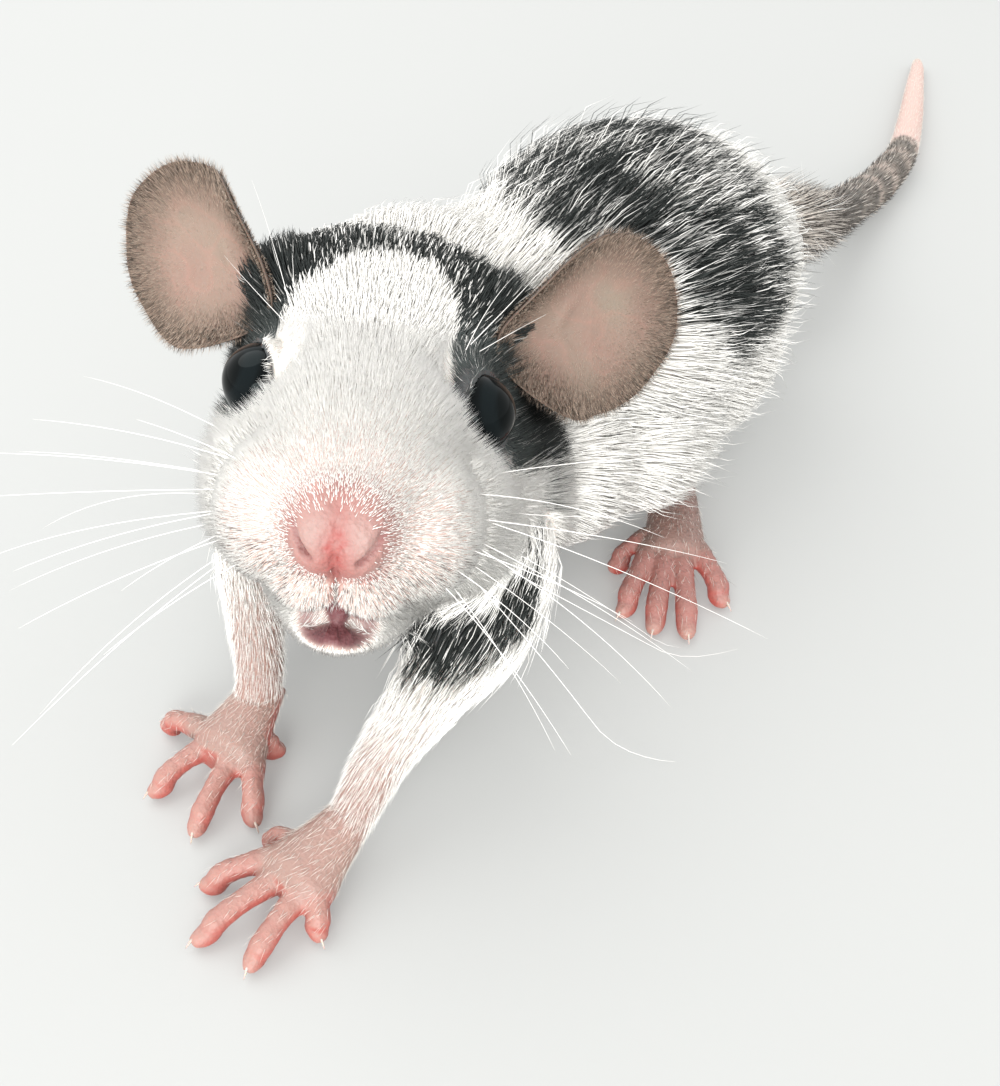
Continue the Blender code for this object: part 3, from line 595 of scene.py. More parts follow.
def head_dark(h):
    """1 in the black band that runs from ear to ear and round both eyes, 0 outside it."""
    out = np.zeros(len(h))
    y, z = h[:, 1] + 0.35 * ripple(h, 2.6, 3), h[:, 2]
    for side, sign in SIDES.items():
        x = h[:, 0] * sign
        front = smooth(y - along(x, BLAZE_EDGE[side]), -0.5, 0.5)
        back = smooth(along(x, BAND_BACK) - y, -0.8, 0.8)
        low = smooth(z - along(y, BAND_LOW[side]), -0.5, 0.5)
        out = np.where(x > 0, front * back * low, out)
    return 0.95 * out * (1 - 0.42 * bell(h[:, 0], 4.5))


def saddle(p):
    """Share of black hairs in the saddle of the back, mottled and bounded fore, aft and at its two sides."""
    y, angle = p[:, 1], np.degrees(round_trunk(p))
    wander = 1.1 * ripple(p, 6.0, 5)
    front = smooth(y - along(angle, SADDLE_FRONT) + wander, -1.2, 1.2)
    back = smooth(along(angle, SADDLE_BACK) - y + wander, -1.5, 1.5)
    ends = smooth(angle, SADDLE_RIGHT - 8, SADDLE_RIGHT + 6)
    ends = ends * smooth(-angle, -SADDLE_LEFT - 6, -SADDLE_LEFT + 8)
    shade = 0.70 - 0.30 * smooth(y, -13, -3) + 0.32 * ripple(p, 4.0, 7)
    for at, width in DARK_SPOTS:
        shade = shade + 0.45 * bell(size(p - np.array(at)), width)
    return front * back * ends * np.clip(shade, 0.2, 0.95)


def patches(p):
    """Share of black hairs on the throat's left side and in the strip that ties it to the band."""
    throat = smooth(1.8 - to_segments(p, THROAT_PATCH) + 0.8 * ripple(p, 5.0, 9), -0.5, 0.7)
    link = smooth(1.0 - to_segments(p, NECK_LINK) + 0.7 * ripple(p, 4.0, 10), -0.6, 0.6)
    return np.maximum(throat * 0.78, link * 0.35)


def darkness(p):
    """Share of black hairs at each point of the skin."""
    on_head = smooth(belongs(p)[0][0], 0.25, 0.6)
    return np.maximum(head_dark(to_head(p)) * on_head, np.maximum(saddle(p), patches(p)))


# Lines of the face: the mouth and the lip's edge in the head's frame, the rest by X and Z on its front.
MOUTH_LINE = (
    (-2.1, -10.7, -11.6), (-1, -11.5, -11.2), (0, -11.8, -11), (1, -11.5, -11.2), (2.1, -10.7, -11.6),
)
LIP_LINE = ((0, -15.2, -7.6), (0, -14, -9), (0, -12.6, -10.4))
NOSTRIL = ((1.2, -6.45), (1.6, -6.1), (1.95, -5.5), (2.15, -4.85))
PHILTRUM = ((0, -7.3), (0, -8.6), (0, -10.2))
NOSE_RIDGE, NOSE_CLEFT = ((0, -4), (0, -6.2)), ((0, -6.4), (0, -7.3))
NOSE_MIDDLE, NOSE_SEAM = ((0, -5.6), (0, -7)), ((0, -3.6), (0, -7))


def nostril(flat, sign):
    """Distance from one nostril's line."""
    return to_segments(flat, np.array(NOSTRIL) * (sign, 1))


def on_lip(h):
    """1 on the front of the upper lip below the nose."""
    return smooth(-h[:, 1], 9.5, 11.0) * smooth(-h[:, 2], 6.8, 7.4)


def skin_colours(p):
    """Pink at the nose and lips, with painted shade in the nostrils, below the nose pad, along the philtrum
    and in the mouth; pale under white hair, near black under black hair.
    """
    h = to_head(p)
    weight, shares = belongs(p)
    flat, front = h[:, [0, 2]], smooth(-h[:, 1], 12.5, 14.0)
    pad = size((h - (0, -15.6, -5.2)) / (2.9, 3.6, 2.6))
    layers = [
        (FACE_SKIN, smooth(-h[:, 1], 6.0, 13.0) * smooth(weight[0], 0.3, 0.7)),
        (NOSE_SKIN, 1 - smooth(pad, 0.85, 1.35)),
    ]
    for sign in SIDES.values():
        under = size((flat - (sign * 1.5, -7.7)) / (1.1, 0.55))
        lobe = size((flat - (sign * 1.1, -5.2)) / (0.9, 1.1))
        layers += [
            # Painted shade inside the nostril's slit.
            (NOSTRIL_SHADE, 0.9 * bell(nostril(flat, sign), 0.17) * front),
            # Painted shade below the nose pad's lower lobe.
            (SHADED_PINK, 0.75 * bell(under, 1) * front),
            (PALE_PINK, 0.75 * bell(lobe, 1) * front),
        ]
    red = 0.75 * bell(to_segments(flat, NOSE_MIDDLE), 0.75) + 0.3 * bell(to_segments(flat, NOSE_SEAM), 0.5)
    layers += [
        (RED_PINK, np.minimum(red, 0.9) * (0.85 + 0.3 * ripple(h, 0.6, 23)) * front),
        # Painted shade along the philtrum's groove.
        (SHADED_PINK, 0.9 * bell(to_segments(flat, PHILTRUM), 0.26) * on_lip(h)),
        # The lips' dark red, deepened as painted shade of the mouth's opening.
        (MOUTH_SKIN_AND_SHADE, 1 - smooth(to_segments(h, MOUTH_LINE), 1.35, 1.95)),
        *((PAW_SKIN, smooth(share, 0.35, 0.75) * w) for share, w in zip(shares, weight[2:])),
        (DARK_SKIN, smooth(darkness(p), 0.35, 0.8)),
        (DARK_SKIN, 1 - smooth(past_lids(h), 5.0, 11.0)),
    ]
    return layered(PALE_SKIN, layers)


# Skin

# The eye's opening: its half angle, what its length, its front and its upper edge add to it, how far the
# lid stands off the ball and over what angle, where it turns into the skin, and how deep the skin is
# hidden inside.
LID = {
    "open": 57.0, "long": 5.0, "front": 14.0, "upper": 7.0, "lift": 0.16, "roll": 6.0, "blend": (6.0, 44.0),
    "hidden": 0.75,
}
LID_REACH = 6.5


def past_lid(h, side):
    """Degrees past the edge of an eye's opening, seen from its middle, and the distance and way from it."""
    at, look = eye_of(side)
    v = h - at
    d = size(v)
    way = v / d[:, None]
    level = np.array((0, 1, 0.25))
    long = unit(level - look * (look @ level))
    turn = np.arctan2(way @ np.cross(look, long), way @ long)
    opening = LID["open"] + LID["long"] * np.cos(turn) ** 2 + LID["front"] * np.clip(-np.cos(turn), 0, 1) ** 2
    opening = opening + LID["upper"] * np.clip(np.sin(turn), 0, 1) ** 2
    return degrees_from(way, look) - opening, d, way


def past_lids(h):
    """The lesser of the two sides' degrees past the lid, and a large number far from both eyes."""
    both = (past_lid(h, side) for side in SIDES)
    return np.minimum(*(np.where(d < LID_REACH, t, 999.0) for t, d, _ in both))


def lidded(h):
    """Opens the skin over each eye: inside the opening it sinks behind the ball, at its edge it is a lid.

    With t the angle past the opening's edge, the distance from the ball's middle is radius - hidden for t < 0
    and radius + lift exp(-(t / roll)^2) beyond, and turns into the skin's own distance further out.
    """
    for side in SIDES:
        t, d, way = past_lid(h, side)
        rolled = EYE_RADIUS + 0.1 + LID["lift"] * bell(t, LID["roll"])
        target = np.where(t < 0, EYE_RADIUS - LID["hidden"], rolled)
        blend = smooth(t, *LID["blend"])
        new = target * (1 - blend) + np.maximum(d, rolled * 0.96) * blend
        near = (d < LID_REACH) & (t < LID["blend"][1])
        h = np.where(near[:, None], eye_of(side)[0] + way * new[:, None], h)
    return h


def on_muzzle(h):
    return (h[:, 1] < -8.0) & (head_level(h) < 1.6)


def by_eyes(h):
    return np.abs(past_lids(h) + 2.0) < 24.0


def by_nose_or_mouth(h):
    return (h[:, 1] < -11.8) | (to_segments(h, MOUTH_LINE) < 1.6)


def at_nostrils(h):
    return (h[:, 1] < -14.0) & (np.abs(h[:, 2] + 6.2) < 2.6)


# Where the skin's cells are halved, one after another, and how often the new ones are relaxed.
REFINEMENTS = ((on_muzzle, 3), (by_eyes, 2), (by_eyes, 2), (by_nose_or_mouth, 3), (at_nostrils, 2))


def face_push(h):
    """How far the skin moves out: nostrils with rims and lobes, nose ridge, cleft, philtrum, mouth, grain."""
    flat, front = h[:, [0, 2]], smooth(-h[:, 1], 11.5, 13.5)
    push = np.zeros(len(h))
    for sign in SIDES.values():
        slit = nostril(flat, sign)
        deep = 0.25 + 0.75 * smooth(-h[:, 2], 4.8, 5.9)
        push -= 0.50 * deep * bell(slit, 0.14) * front
        push += 0.07 * np.exp(-((slit - 0.50) ** 2) / 0.10) * front
        push += 0.16 * bell(size(flat - (sign * 0.85, -6.9)), 0.75) * front
    push -= 0.05 * bell(to_segments(flat, NOSE_RIDGE), 0.22) * front
    push -= 0.20 * bell(to_segments(flat, NOSE_CLEFT), 0.20) * front
    push -= 0.35 * bell(to_segments(flat, PHILTRUM), 0.22) * on_lip(h)
    push -= 1.4 * np.exp(-((to_segments(h, MOUTH_LINE) / 1.3) ** 4))
    return push + (0.02 * ripple(h, 0.55, 21) + 0.012 * ripple(h, 0.3, 22)) * front


def make_skin():
    """The flesh as one skin, set in by the depth of the coat, with lids, nostrils, lips and mouth."""
    shapes = [closed(head_rings(HEAD_STATIONS, 48)), closed(head_rings(JAW_STATIONS, 32))]
    for side in SIDES:
        shapes += [closed(from_head(ball_rings(sided(at, side), half))) for at, half in HEAD_BALLS]
        shapes += [tube(FORELEG_STATIONS[side], 32), closed(ball_rings(*THIGHS[side]))]
    shapes += [closed(from_head(ball_rings(*bulge))) for bulge in CHEEK_BULGES]
    shapes += [closed(ball_rings(*flank)) for flank in FLANKS]
    shapes += [tube(TRUNK_STATIONS, 64), tube(NECK_STATIONS, 64)]
    skin = fused("skin", shapes, SKIN_CELL, 7)
    p, n = points_of(skin.data), normals_of(skin.data)
    moved_to(skin.data, p - n * coat_depth(p)[:, None])
    for wanted, rounds in REFINEMENTS:
        refined(skin.data, wanted, rounds)
    h, n = to_head(points_of(skin.data)), normals_of(skin.data)
    moved_to(skin.data, from_head(lidded(h + n @ HEAD * face_push(h)[:, None])))
    return skin


# Coat

# By the rows of a spike: the share of its root's radius that each ring has.
TUFT_RINGS = {1: (1.0,), 2: (1.0, 0.75)}
FLOOR_GAP, ROW_GAP = 0.03, 0.002
TUFT_SINK = 0.03
UV_PATCH = 0.003


def tufts(name, hairs, keep=slice(None), rows=2):
    """Bent spikes of three sides, for the kept rows of eleven arrays.

    They are root, normal, lie, length, first and last lift, radius, colours at root and tip, place on the map
    and sway. A spike's way at the share s of its length is cos(e) lie + sin(e) normal + sway across, where e
    runs from the first lift to the last. Its rings shrink by TUFT_RINGS to a point, and its root is closed.
    Each takes a patch of the map OFBake at its root's place: s runs along u and the way round along v.
    """
    root, normal, lie, length, first, last, radius, base, tip, places, sway = (part[keep] for part in hairs)
    across = np.cross(normal, lie)
    at, points = root - normal * (TUFT_SINK * np.minimum(length, 2.0))[:, None], []
    turn = 2 * np.pi * (np.arange(3) / 3 + 0.25)
    for k in range(rows):
        e = first + (last - first) * k / max(rows - 1, 1)
        way = np.cos(e)[:, None] * lie + np.sin(e)[:, None] * normal + (sway * k)[:, None] * across
        wide = across[:, None] * np.cos(turn)[None, :, None]
        high = np.cross(way, across)[:, None] * np.sin(turn)[None, :, None] * 0.7
        points.append(at[:, None] + (wide + high) * (radius * TUFT_RINGS[rows][k])[:, None, None])
        at = at + way * (length / rows)[:, None]
    points = np.concatenate(points + [at[:, None]], 1)
    per = points.shape[1]
    points[..., 2] = np.maximum(points[..., 2], FLOOR_GAP + ROW_GAP * np.arange(per))
    sides = ((0, 1), (1, 2), (2, 0))
    faces = [(2, 1, 0)]
    for a in range(0, 3 * rows - 3, 3):
        faces += [(a + s, a + t, a + 3 + t) for s, t in sides]
        faces += [(a + s, a + 3 + t, a + 3 + s) for s, t in sides]
    faces += [(per - 4 + s, per - 4 + t, per - 1) for s, t in sides]
    faces = repeated(np.array(faces), len(root), per)
    obj = mesh_from(name, points.reshape(-1, 3), faces)
    share = np.array([k // 3 / rows for k in range(3 * rows)] + [1.0])
    spin = np.array([k % 3 / 3 for k in range(3 * rows)] + [0.5])
    painted(obj, mixed(base[:, None], tip[:, None], share[None]).reshape(-1, 3))
    patch = np.stack([share - 0.5, spin - 0.5], 1) * UV_PATCH
    uv = (places[:, None] + patch[None]).reshape(-1, 2)[faces.ravel()]
    layer = obj.data.uv_layers.new(name="OFBake")
    layer.data.foreach_set("uv", uv.astype(np.float32).ravel())
    return obj


def on_map(u, v):
    """Places on the map from shares in 0..1, clear of its edges."""
    return 0.01 + 0.98 * np.stack([u, v], 1)


def roots_on(mesh, density, seed):
    """Places spread over a mesh by area and density: even steps along the running sum, with a jitter."""
    mesh.calc_loop_triangles()
    tri = threes(mesh.loop_triangles, "vertices", np.int32)
    p, n = points_of(mesh), normals_of(mesh)
    a, b, c = p[tri].transpose(1, 0, 2)
    area = size(np.cross(b - a, c - a)) / 2
    total = np.cumsum(area * density(p)[tri].mean(1))
    draw = np.random.default_rng(seed)
    count = int(total[-1])
    pick = np.searchsorted(total, (np.arange(count) + draw.random(count)) * total[-1] / count)
    pick = tri[np.minimum(pick, len(tri) - 1)]
    u, v = draw.random((2, count))
    u, v = np.where(u + v > 1, 1 - u, u), np.where(u + v > 1, 1 - v, v)
    w = np.stack([1 - u - v, u, v], 1)[..., None]
    return (p[pick] * w).sum(1), unit((n[pick] * w).sum(1)), draw


# Hair lengths: by place along the head, by share of the foreleg, and on the trunk.
HEAD_LENGTH = ((-17, 0.3), (-15, 0.5), (-13, 0.8), (-9, 1.5), (-4, 2.1), (3, 2.7), (10, 3.6), (20, 4.6))
LEG_LENGTH = ((0, 4.2), (0.4, 2.6), (0.6, 1.4), (0.8, 1), (1, 0.8))
TRUNK_LENGTH = 5.0
# Hairs on a square millimetre of the foreleg, by share, and on the trunk.
LEG_DENSITY = ((0, 15), (0.45, 18), (0.6, 30), (1, 22))
TRUNK_DENSITY = 15.0
NOSE_POINT = (0, -18.5, -5.5)
LIFTS = {"muzzle": 15.0, "head": 20.0, "crown": 34.0, "trunk": 22.0, "leg": 15.0}


def coat_fields(p, n):
    """Each root's weights, shares and place in the head's frame, and its hair's length, lie and lift."""
    weight, shares = belongs(p)
    h = to_head(p)
    near_eye, from_eye = to_eyes(h)
    head = along(h[:, 1], HEAD_LENGTH) * (0.35 + 0.65 * smooth(near_eye, 3.0, 6.0))
    head = head * (0.45 + 0.55 * smooth(to_segments(h, MOUTH_LINE), 1.2, 3.2))
    belly = smooth(9.0 - p[:, 2], 0, 5)
    trunk = TRUNK_LENGTH - 1.6 * belly - 1.0 * smooth(-p[:, 1], 10, 26)
    length = weight[0] * head + weight[1] * trunk
    round_eye = (1 - smooth(near_eye, 3.2, 5.0))[:, None]
    ways = [unit(unit(h - NOSE_POINT) * (1 - 0.85 * round_eye) + from_eye * 1.2 * round_eye) @ HEAD.T]
    out = p[:, 0] + 2
    down = 0.55 * smooth(22 - p[:, 2], -4, 12)
    ways.append(unit(np.stack([0.25 * np.sign(out) * smooth(np.abs(out), 2, 12), 1 + 0 * belly, -down], 1)))
    for stations, share, w in zip(FORELEG_STATIONS.values(), shares, weight[2:]):
        ahead = unit(np.gradient(spline(stations, 5)[:, :3], axis=0))
        ways.append(ahead[(share * (len(ahead) - 1)).astype(int)])
        length = length + w * along(share, LEG_LENGTH)
    lie = pressed(sum(w[:, None] * way for w, way in zip(weight, ways)), n)
    front = smooth(-h[:, 1], 4, 12)
    crown = smooth(h[:, 1], 3.0, 7.0) * smooth(h[:, 2], 4.0, 7.0)
    head = LIFTS["head"] * (1 - front) + LIFTS["muzzle"] * front + (LIFTS["crown"] - LIFTS["head"]) * crown
    head = head * (0.65 + 0.35 * smooth(near_eye, 3.0, 5.0))
    lift = weight[0] * head + weight[1] * LIFTS["trunk"] * (1 - 0.6 * belly)
    lift = lift + (weight[2] + weight[3]) * LIFTS["leg"]
    return weight, shares, h, length, lie, np.radians(lift)


def hair_density(p):
    """Hairs on a square millimetre: most on the head, none on the nose, in the eyes and in the mouth."""
    weight, shares = belongs(p)
    h = to_head(p)
    pad = size((h - (0, -16.8, -5.8)) / (2.6, 3.2, 2.2))
    bare = 1 - 0.45 * smooth(pad, 0.74, 1.0) - 0.55 * smooth(pad, 1.0, 1.5)
    mouth = smooth(to_segments(h, MOUTH_LINE) + 0.25 * smooth(h[:, 2], -11.0, -10.4), 1.4, 1.9)
    mouth = mouth * smooth(to_segments(h, LIP_LINE), 0.25, 0.6)
    head = (46 + 22 * off_crown(h) + 10 * smooth(-h[:, 1], 5, 9)) * (1 - bare) * mouth
    head = head * smooth(past_lids(h), 1.0, 4.0)
    leg = sum(w * along(share, LEG_DENSITY) for w, share in zip(weight[2:], shares))
    return (weight[0] * head + weight[1] * TRUNK_DENSITY + leg) * (0.2 + 0.8 * smooth(p[:, 2], 1.8, 3.2))


def off_crown(h):
    """1 below the crown and 0 on it, where hairs are coarser and fewer."""
    return smooth(CROWN_LOW - h[:, 2], -0.3, 0.3)


CROWN_LOW = 3.5
HEAD_REGIONS = ("muzzle", "face_left", "crown", "face_right")
REGIONS = HEAD_REGIONS + (
    "neck_left", "back", "side_left", "side_right", "rump_left", "forelegs", "neck_right", "rump_right",
    "forearms",
)
# These are so short-haired that one row of faces a hair is enough.
FINE_REGIONS = ("muzzle", "face_left", "face_right", "forearms")


def region_of(p, weight, h, length):
    """The name of the coat piece that each root belongs to."""
    x, y = p[:, 0], p[:, 1]
    left, angle = x > SADDLE_AXIS[0] + 0.06 * y, np.degrees(round_trunk(p))
    middle = np.where(angle > 55, "side_left", np.where(angle < -55, "side_right", "back"))
    neck = np.where(left, "neck_left", "neck_right")
    trunk = np.where(y > 2.0, np.where(left, "rump_left", "rump_right"), np.where(y < -14.0, neck, middle))
    leg = np.where(length < 1.6, "forearms", "forelegs")
    face = np.where(h[:, 0] > 0, "face_left", "face_right")
    head = np.where(h[:, 1] < -6, "muzzle", np.where(h[:, 2] > CROWN_LOW, "crown", face))
    return np.where(weight[0] > 0.5, head, np.where(weight[2] + weight[3] > 0.5, leg, trunk))


def unwrapped(p, region, h):
    """The root's place on the unwrap of its region: the angle round it and the way along it, in 0..1."""
    x, far, z = p.T
    if region in HEAD_REGIONS:
        turn, far = np.arctan2(h[:, 0], h[:, 2] + 3.0), h[:, 1]
    elif region not in ("forelegs", "forearms"):
        turn = round_trunk(p)
    else:
        turn = np.zeros(len(p))
        for side, sign in SIDES.items():
            line = np.array(FORELEG_STATIONS[side]).T
            spin = np.arctan2(*(q - np.interp(-far, -line[1], line[c]) for q, c in ((x, 0), (z, 2))))
            turn = np.where((x > 4) == (side == "left"), spin / 2 - sign * np.pi / 2, turn)
    return on_map(*((q - q.min()) / max(np.ptp(q), 1e-6) for q in (turn, far)))


def hair_colours(p, draw):
    """Black by the share of black hairs at the root, white or grey elsewhere, each with its own shade."""
    dark = darkness(p)
    h = to_head(p)
    count = len(p)
    black = draw.random(count) < dark
    grey = (dark > 0.05) & ~black & (draw.random(count) < along(dark, ((0.8, 0.35), (0.94, 1.0))))
    pad = smooth(-h[:, 1], 8.5, 10.5) * smooth(-h[:, 2], 5.5, 7.0) * (dark < 0.1)
    speck = draw.random(count) < 0.15 * pad
    black, grey, speck = black[:, None], grey[:, None], speck[:, None]
    shade = draw.uniform(0.82, 1.18, count)[:, None]
    thin = (1 + 2.0 * smooth(6.8 - to_eyes(h)[0], 0, 2.4))[:, None]
    strength = np.where(black, shade * 1.2 * thin, 0.95 + 0.10 * (shade - 0.82))
    ends = []
    for b, g, w in zip(BLACK_HAIR, GREY_HAIR, WHITE_HAIR):
        ends.append(np.where(speck, SPECK_HAIR, np.where(black, b, np.where(grey, g, w))) * strength)
    return ends


def short_of_ears(p, n, lie, lift, length):
    """Shortens hairs that would go through an ear: the way to its disc's plane is their longest reach."""
    root = to_head(p)
    way = (np.cos(lift)[:, None] * lie + np.sin(lift)[:, None] * n) @ HEAD
    for side, ear in EARS.items():
        grows, front = unit(sided(ear["grows"], side)), unit(sided(ear["faces"], side))
        middle = sided(ear["at"], side) + grows * ear["length"] / 2 - front * 0.9
        before, toward = (root - middle) @ front, way @ front
        reach = np.where(before * toward < 0, -before / np.where(np.abs(toward) < 1e-3, 1e-3, toward), 1e3)
        inside = size(root + way * reach[:, None] - middle) < ear["length"] / 2 + 0.3
        length = np.where(inside & (reach < length * 1.1), reach * 0.6, length)
    return length


def make_coat(skin):
    """The coat in pieces by region, from roots spread over the skin, with a few longer guard hairs."""
    p, n, draw = roots_on(skin.data, hair_density, SEEDS["coat"])
    weight, shares, h, length, lie, lift = coat_fields(p, n)
    base, tip = hair_colours(p, draw)
    count = len(p)
    guard = (draw.random(count) < 0.05) & (weight[0] < 0.5) & (p[:, 2] > 8)
    length = length * draw.uniform(0.72, 1.25, count) * np.where(guard, 1.35, 1.0)
    aside = 0.10 * ripple(p, 3.0, 41) + 0.08 * draw.normal(size=count)
    lie = unit(lie + np.cross(n, lie) * aside[:, None])
    lift = lift * draw.uniform(0.7, 1.3, count) + np.where(guard, 0.16, 0)
    last = np.where(guard, 0.02, -0.12)
    sway = 0.06 * draw.normal(size=count)
    radius = 0.032 + 0.023 * smooth(length, 0.8, 3.6)
    radius = radius * draw.uniform(0.75, 1.25, count) * np.where(guard, 0.75, 1.0)
    radius = radius * (1 - 0.16 * weight[0] * off_crown(h))
    radius = radius * (1 - 0.42 * sum(w * smooth(share, 0.5, 0.8) for w, share in zip(weight[2:], shares)))
    length = short_of_ears(p, n, lie, lift, length)
    region = np.where(length > 0.2, region_of(p, weight, h, length), "")
    places, pieces = np.zeros((count, 2)), []
    for name in REGIONS:
        mine = region == name
        places[mine] = unwrapped(p[mine], name, h[mine])
        hairs = p, n, lie, length, lift, last, radius, base, tip, places, sway
        pieces.append(tufts("coat_" + name, hairs, mine, 1 if name in FINE_REGIONS else 2))
    return pieces


# Finishes


class Value:
    """A shader value: Python's operators on it add Math nodes."""

    def __init__(self, finish, socket):
        self.finish, self.socket = finish, socket

    def _with(self, operation, a, b):
        return self.finish.node("ShaderNodeMath", {"operation": operation}, {0: a, 1: b})

    def __add__(self, other):
        return self._with("ADD", self, other)

    def __sub__(self, other):
        return self._with("SUBTRACT", self, other)

    def __rsub__(self, other):
        return self._with("SUBTRACT", other, self)

    def __mul__(self, other):
        return self._with("MULTIPLY", self, other)

    __radd__, __rmul__ = __add__, __mul__


class Finish:
    """One material: its Principled shader, and a method that adds any other node."""

    def __init__(self, name, **sockets):
        self.material = bpy.data.materials.new(name)
        self.material.use_nodes = True
        self.tree = self.material.node_tree
        self.shader = self.tree.nodes["Principled BSDF"]
        self.set(**sockets)

    def feed(self, node, inputs):
        """Sets or links a node's sockets, by name or number."""
        for key, value in inputs.items():
            if isinstance(value, Value):
                self.tree.links.new(value.socket, node.inputs[key])
            else:
                node.inputs[key].default_value = value

    def set(self, **sockets):
        """Sets or links the shader's own sockets, with _ for each space in a name."""
        self.feed(self.shader, {key.replace("_", " "): value for key, value in sockets.items()})

    def node(self, kind, settings, inputs, output=0):
        """A node of one kind, with its settings made first and then the values or links of its sockets."""
        made = self.tree.nodes.new(kind)
        for key, value in settings.items():
            setattr(made, key, value)
        self.feed(made, inputs)
        return Value(self, made.outputs[output])

    def painted(self, name="Coat"):
        """The colours stored on the mesh."""
        return self.node("ShaderNodeVertexColor", {"layer_name": name}, {})

    def place(self):
        return self.node("ShaderNodeTexCoord", {}, {}, "Object")

    def noise(self, scale, detail=3.0, roughness=0.55):
        """Noise over the object's own coordinates, with its scale in cells a metre."""
        inputs = {"Vector": self.place(), "Scale": scale, "Detail": detail, "Roughness": roughness}
        return self.node("ShaderNodeTexNoise", {}, inputs)

    def mix(self, share, a, b, blend="MIX"):
        settings = {"data_type": "RGBA", "blend_type": blend}
        return self.node("ShaderNodeMix", settings, {0: share, 6: a, 7: b}, 2)

    def tinted(self, *parts):
        """The stored colours, times a red, a green and a blue part."""
        tint = self.node("ShaderNodeCombineColor", {}, dict(enumerate(parts)))
        return self.mix(1.0, self.painted(), tint, "MULTIPLY")

    def bump(self, height, strength, distance):
        """Raises the surface by a height, with the distance in metres."""
        inputs = {"Height": height, "Strength": strength, "Distance": distance}
        self.set(Normal=self.node("ShaderNodeBump", {}, inputs))

    def wear(self, *objects):
        for obj in objects:
            obj.data.materials.clear()
            obj.data.materials.append(self.material)


def coat_finish():
    finish = Finish("coat_hair", Roughness=0.6, Specular_IOR_Level=0.12)
    shade = finish.noise(1400.0) * 0.16 + 0.92
    finish.set(Base_Color=finish.tinted(shade, shade, shade))
    return finish


def flesh(name, weight, scale):
    """A shader that lets light in a little, the red furthest, with its share and its reach in metres."""
    soft = {"Subsurface_Weight": weight, "Subsurface_Scale": scale, "Subsurface_Radius": (1.0, 0.35, 0.25)}
    return Finish(name, Specular_IOR_Level=0.4, **soft)


def skin_finish(name, grain, strength, gloss, flush=0.12):
    """Living skin: the stored colours with a slow flush, and pores and creases in the bump."""
    finish = flesh(name, 0.22, 0.0006)
    slow = finish.noise(420.0) * flush + (1 - flush / 2)
    finish.set(Base_Color=finish.tinted(1.0, slow, slow), Roughness=finish.noise(1800.0) * 0.16 + gloss)
    cells = finish.node("ShaderNodeTexVoronoi", {"feature": "F1"}, {"Vector": finish.place(), "Scale": grain})
    finish.bump(cells + finish.noise(grain * 2.0) * 0.6, strength, 0.00009)
    return finish


def eye_finish():
    finish = Finish("eye_gloss", Roughness=0.03, IOR=1.34, Specular_IOR_Level=0.2)
    finish.set(Specular_Tint=(0.86, 1.0, 1.0, 1), Base_Color=finish.painted("Iris"))
    return finish


def whisker_finish():
    finish = Finish("whisker_white", Base_Color=(0.92, 0.90, 0.87, 1), Specular_IOR_Level=0.5)
    finish.set(Roughness=finish.noise(900.0) * 0.2 + 0.2)
    return finish


def claw_finish():
    finish = Finish("claw_horn", Roughness=0.25, Specular_IOR_Level=0.5, Subsurface_Weight=0.3)
    shade = finish.mix(finish.noise(2400.0), (0.42, 0.34, 0.30, 1), (0.52, 0.45, 0.40, 1))
    finish.set(Subsurface_Scale=0.0004, Base_Color=shade)
    return finish


def tail_finish():
    """Scales in rings: a sine of the way along the tail, which the attribute Rings holds."""
    finish = flesh("tail_scales", 0.12, 0.0005)
    rings = finish.node("ShaderNodeAttribute", {"attribute_name": "Rings"}, {}, "Vector")
    reach = finish.node("ShaderNodeSeparateXYZ", {}, {0: rings}, "X")
    steps = finish.node("ShaderNodeMath", {"operation": "SINE"}, {0: reach * (2 * math.pi / TAIL_RING)})
    tint = finish.tinted(steps * 0.05 + 0.97, steps * 0.06 + 0.96, steps * 0.06 + 0.96)
    fine = finish.noise(5200.0)
    finish.set(Base_Color=tint, Roughness=fine * 0.2 + 0.4)
    finish.bump(steps + fine, 0.4, 0.00008)
    return finish


# Eyes, ears, whiskers, paws, tail


def make_eye(side):
    """A ball whose front swells into the cornea.

    Its radius is radius + swell exp(-(angle / width)^2), with the angle from the way it looks.
    """
    at, look = eye_of(side)
    ring = ball_rings((0, 0, 0), (1, 1, 1), 46, 72)
    radius = EYE_RADIUS + CORNEA_SWELL * bell(degrees_from(ring, look), CORNEA_WIDTH)
    eye = mesh_from("eye_ball_" + side, *closed(from_head(at + ring * radius[..., None])))
    angle = degrees_from(unit(to_head(points_of(eye.data)) - at), look)
    painted(eye, mixed(BLACK_EYE, IRIS, smooth(angle, 30, 36) * (1 - smooth(angle, 52, 60))), "Iris")
    return eye


EAR_ROWS, EAR_SIDES, EAR_HAIRS = 44, 120, 19000
EAR_ROOT, EAR_WAIST = 0.22, 0.30
EAR_THICK = ((0, 0.42), (0.6, 0.30), (0.93, 0.20), (1, 0.12))


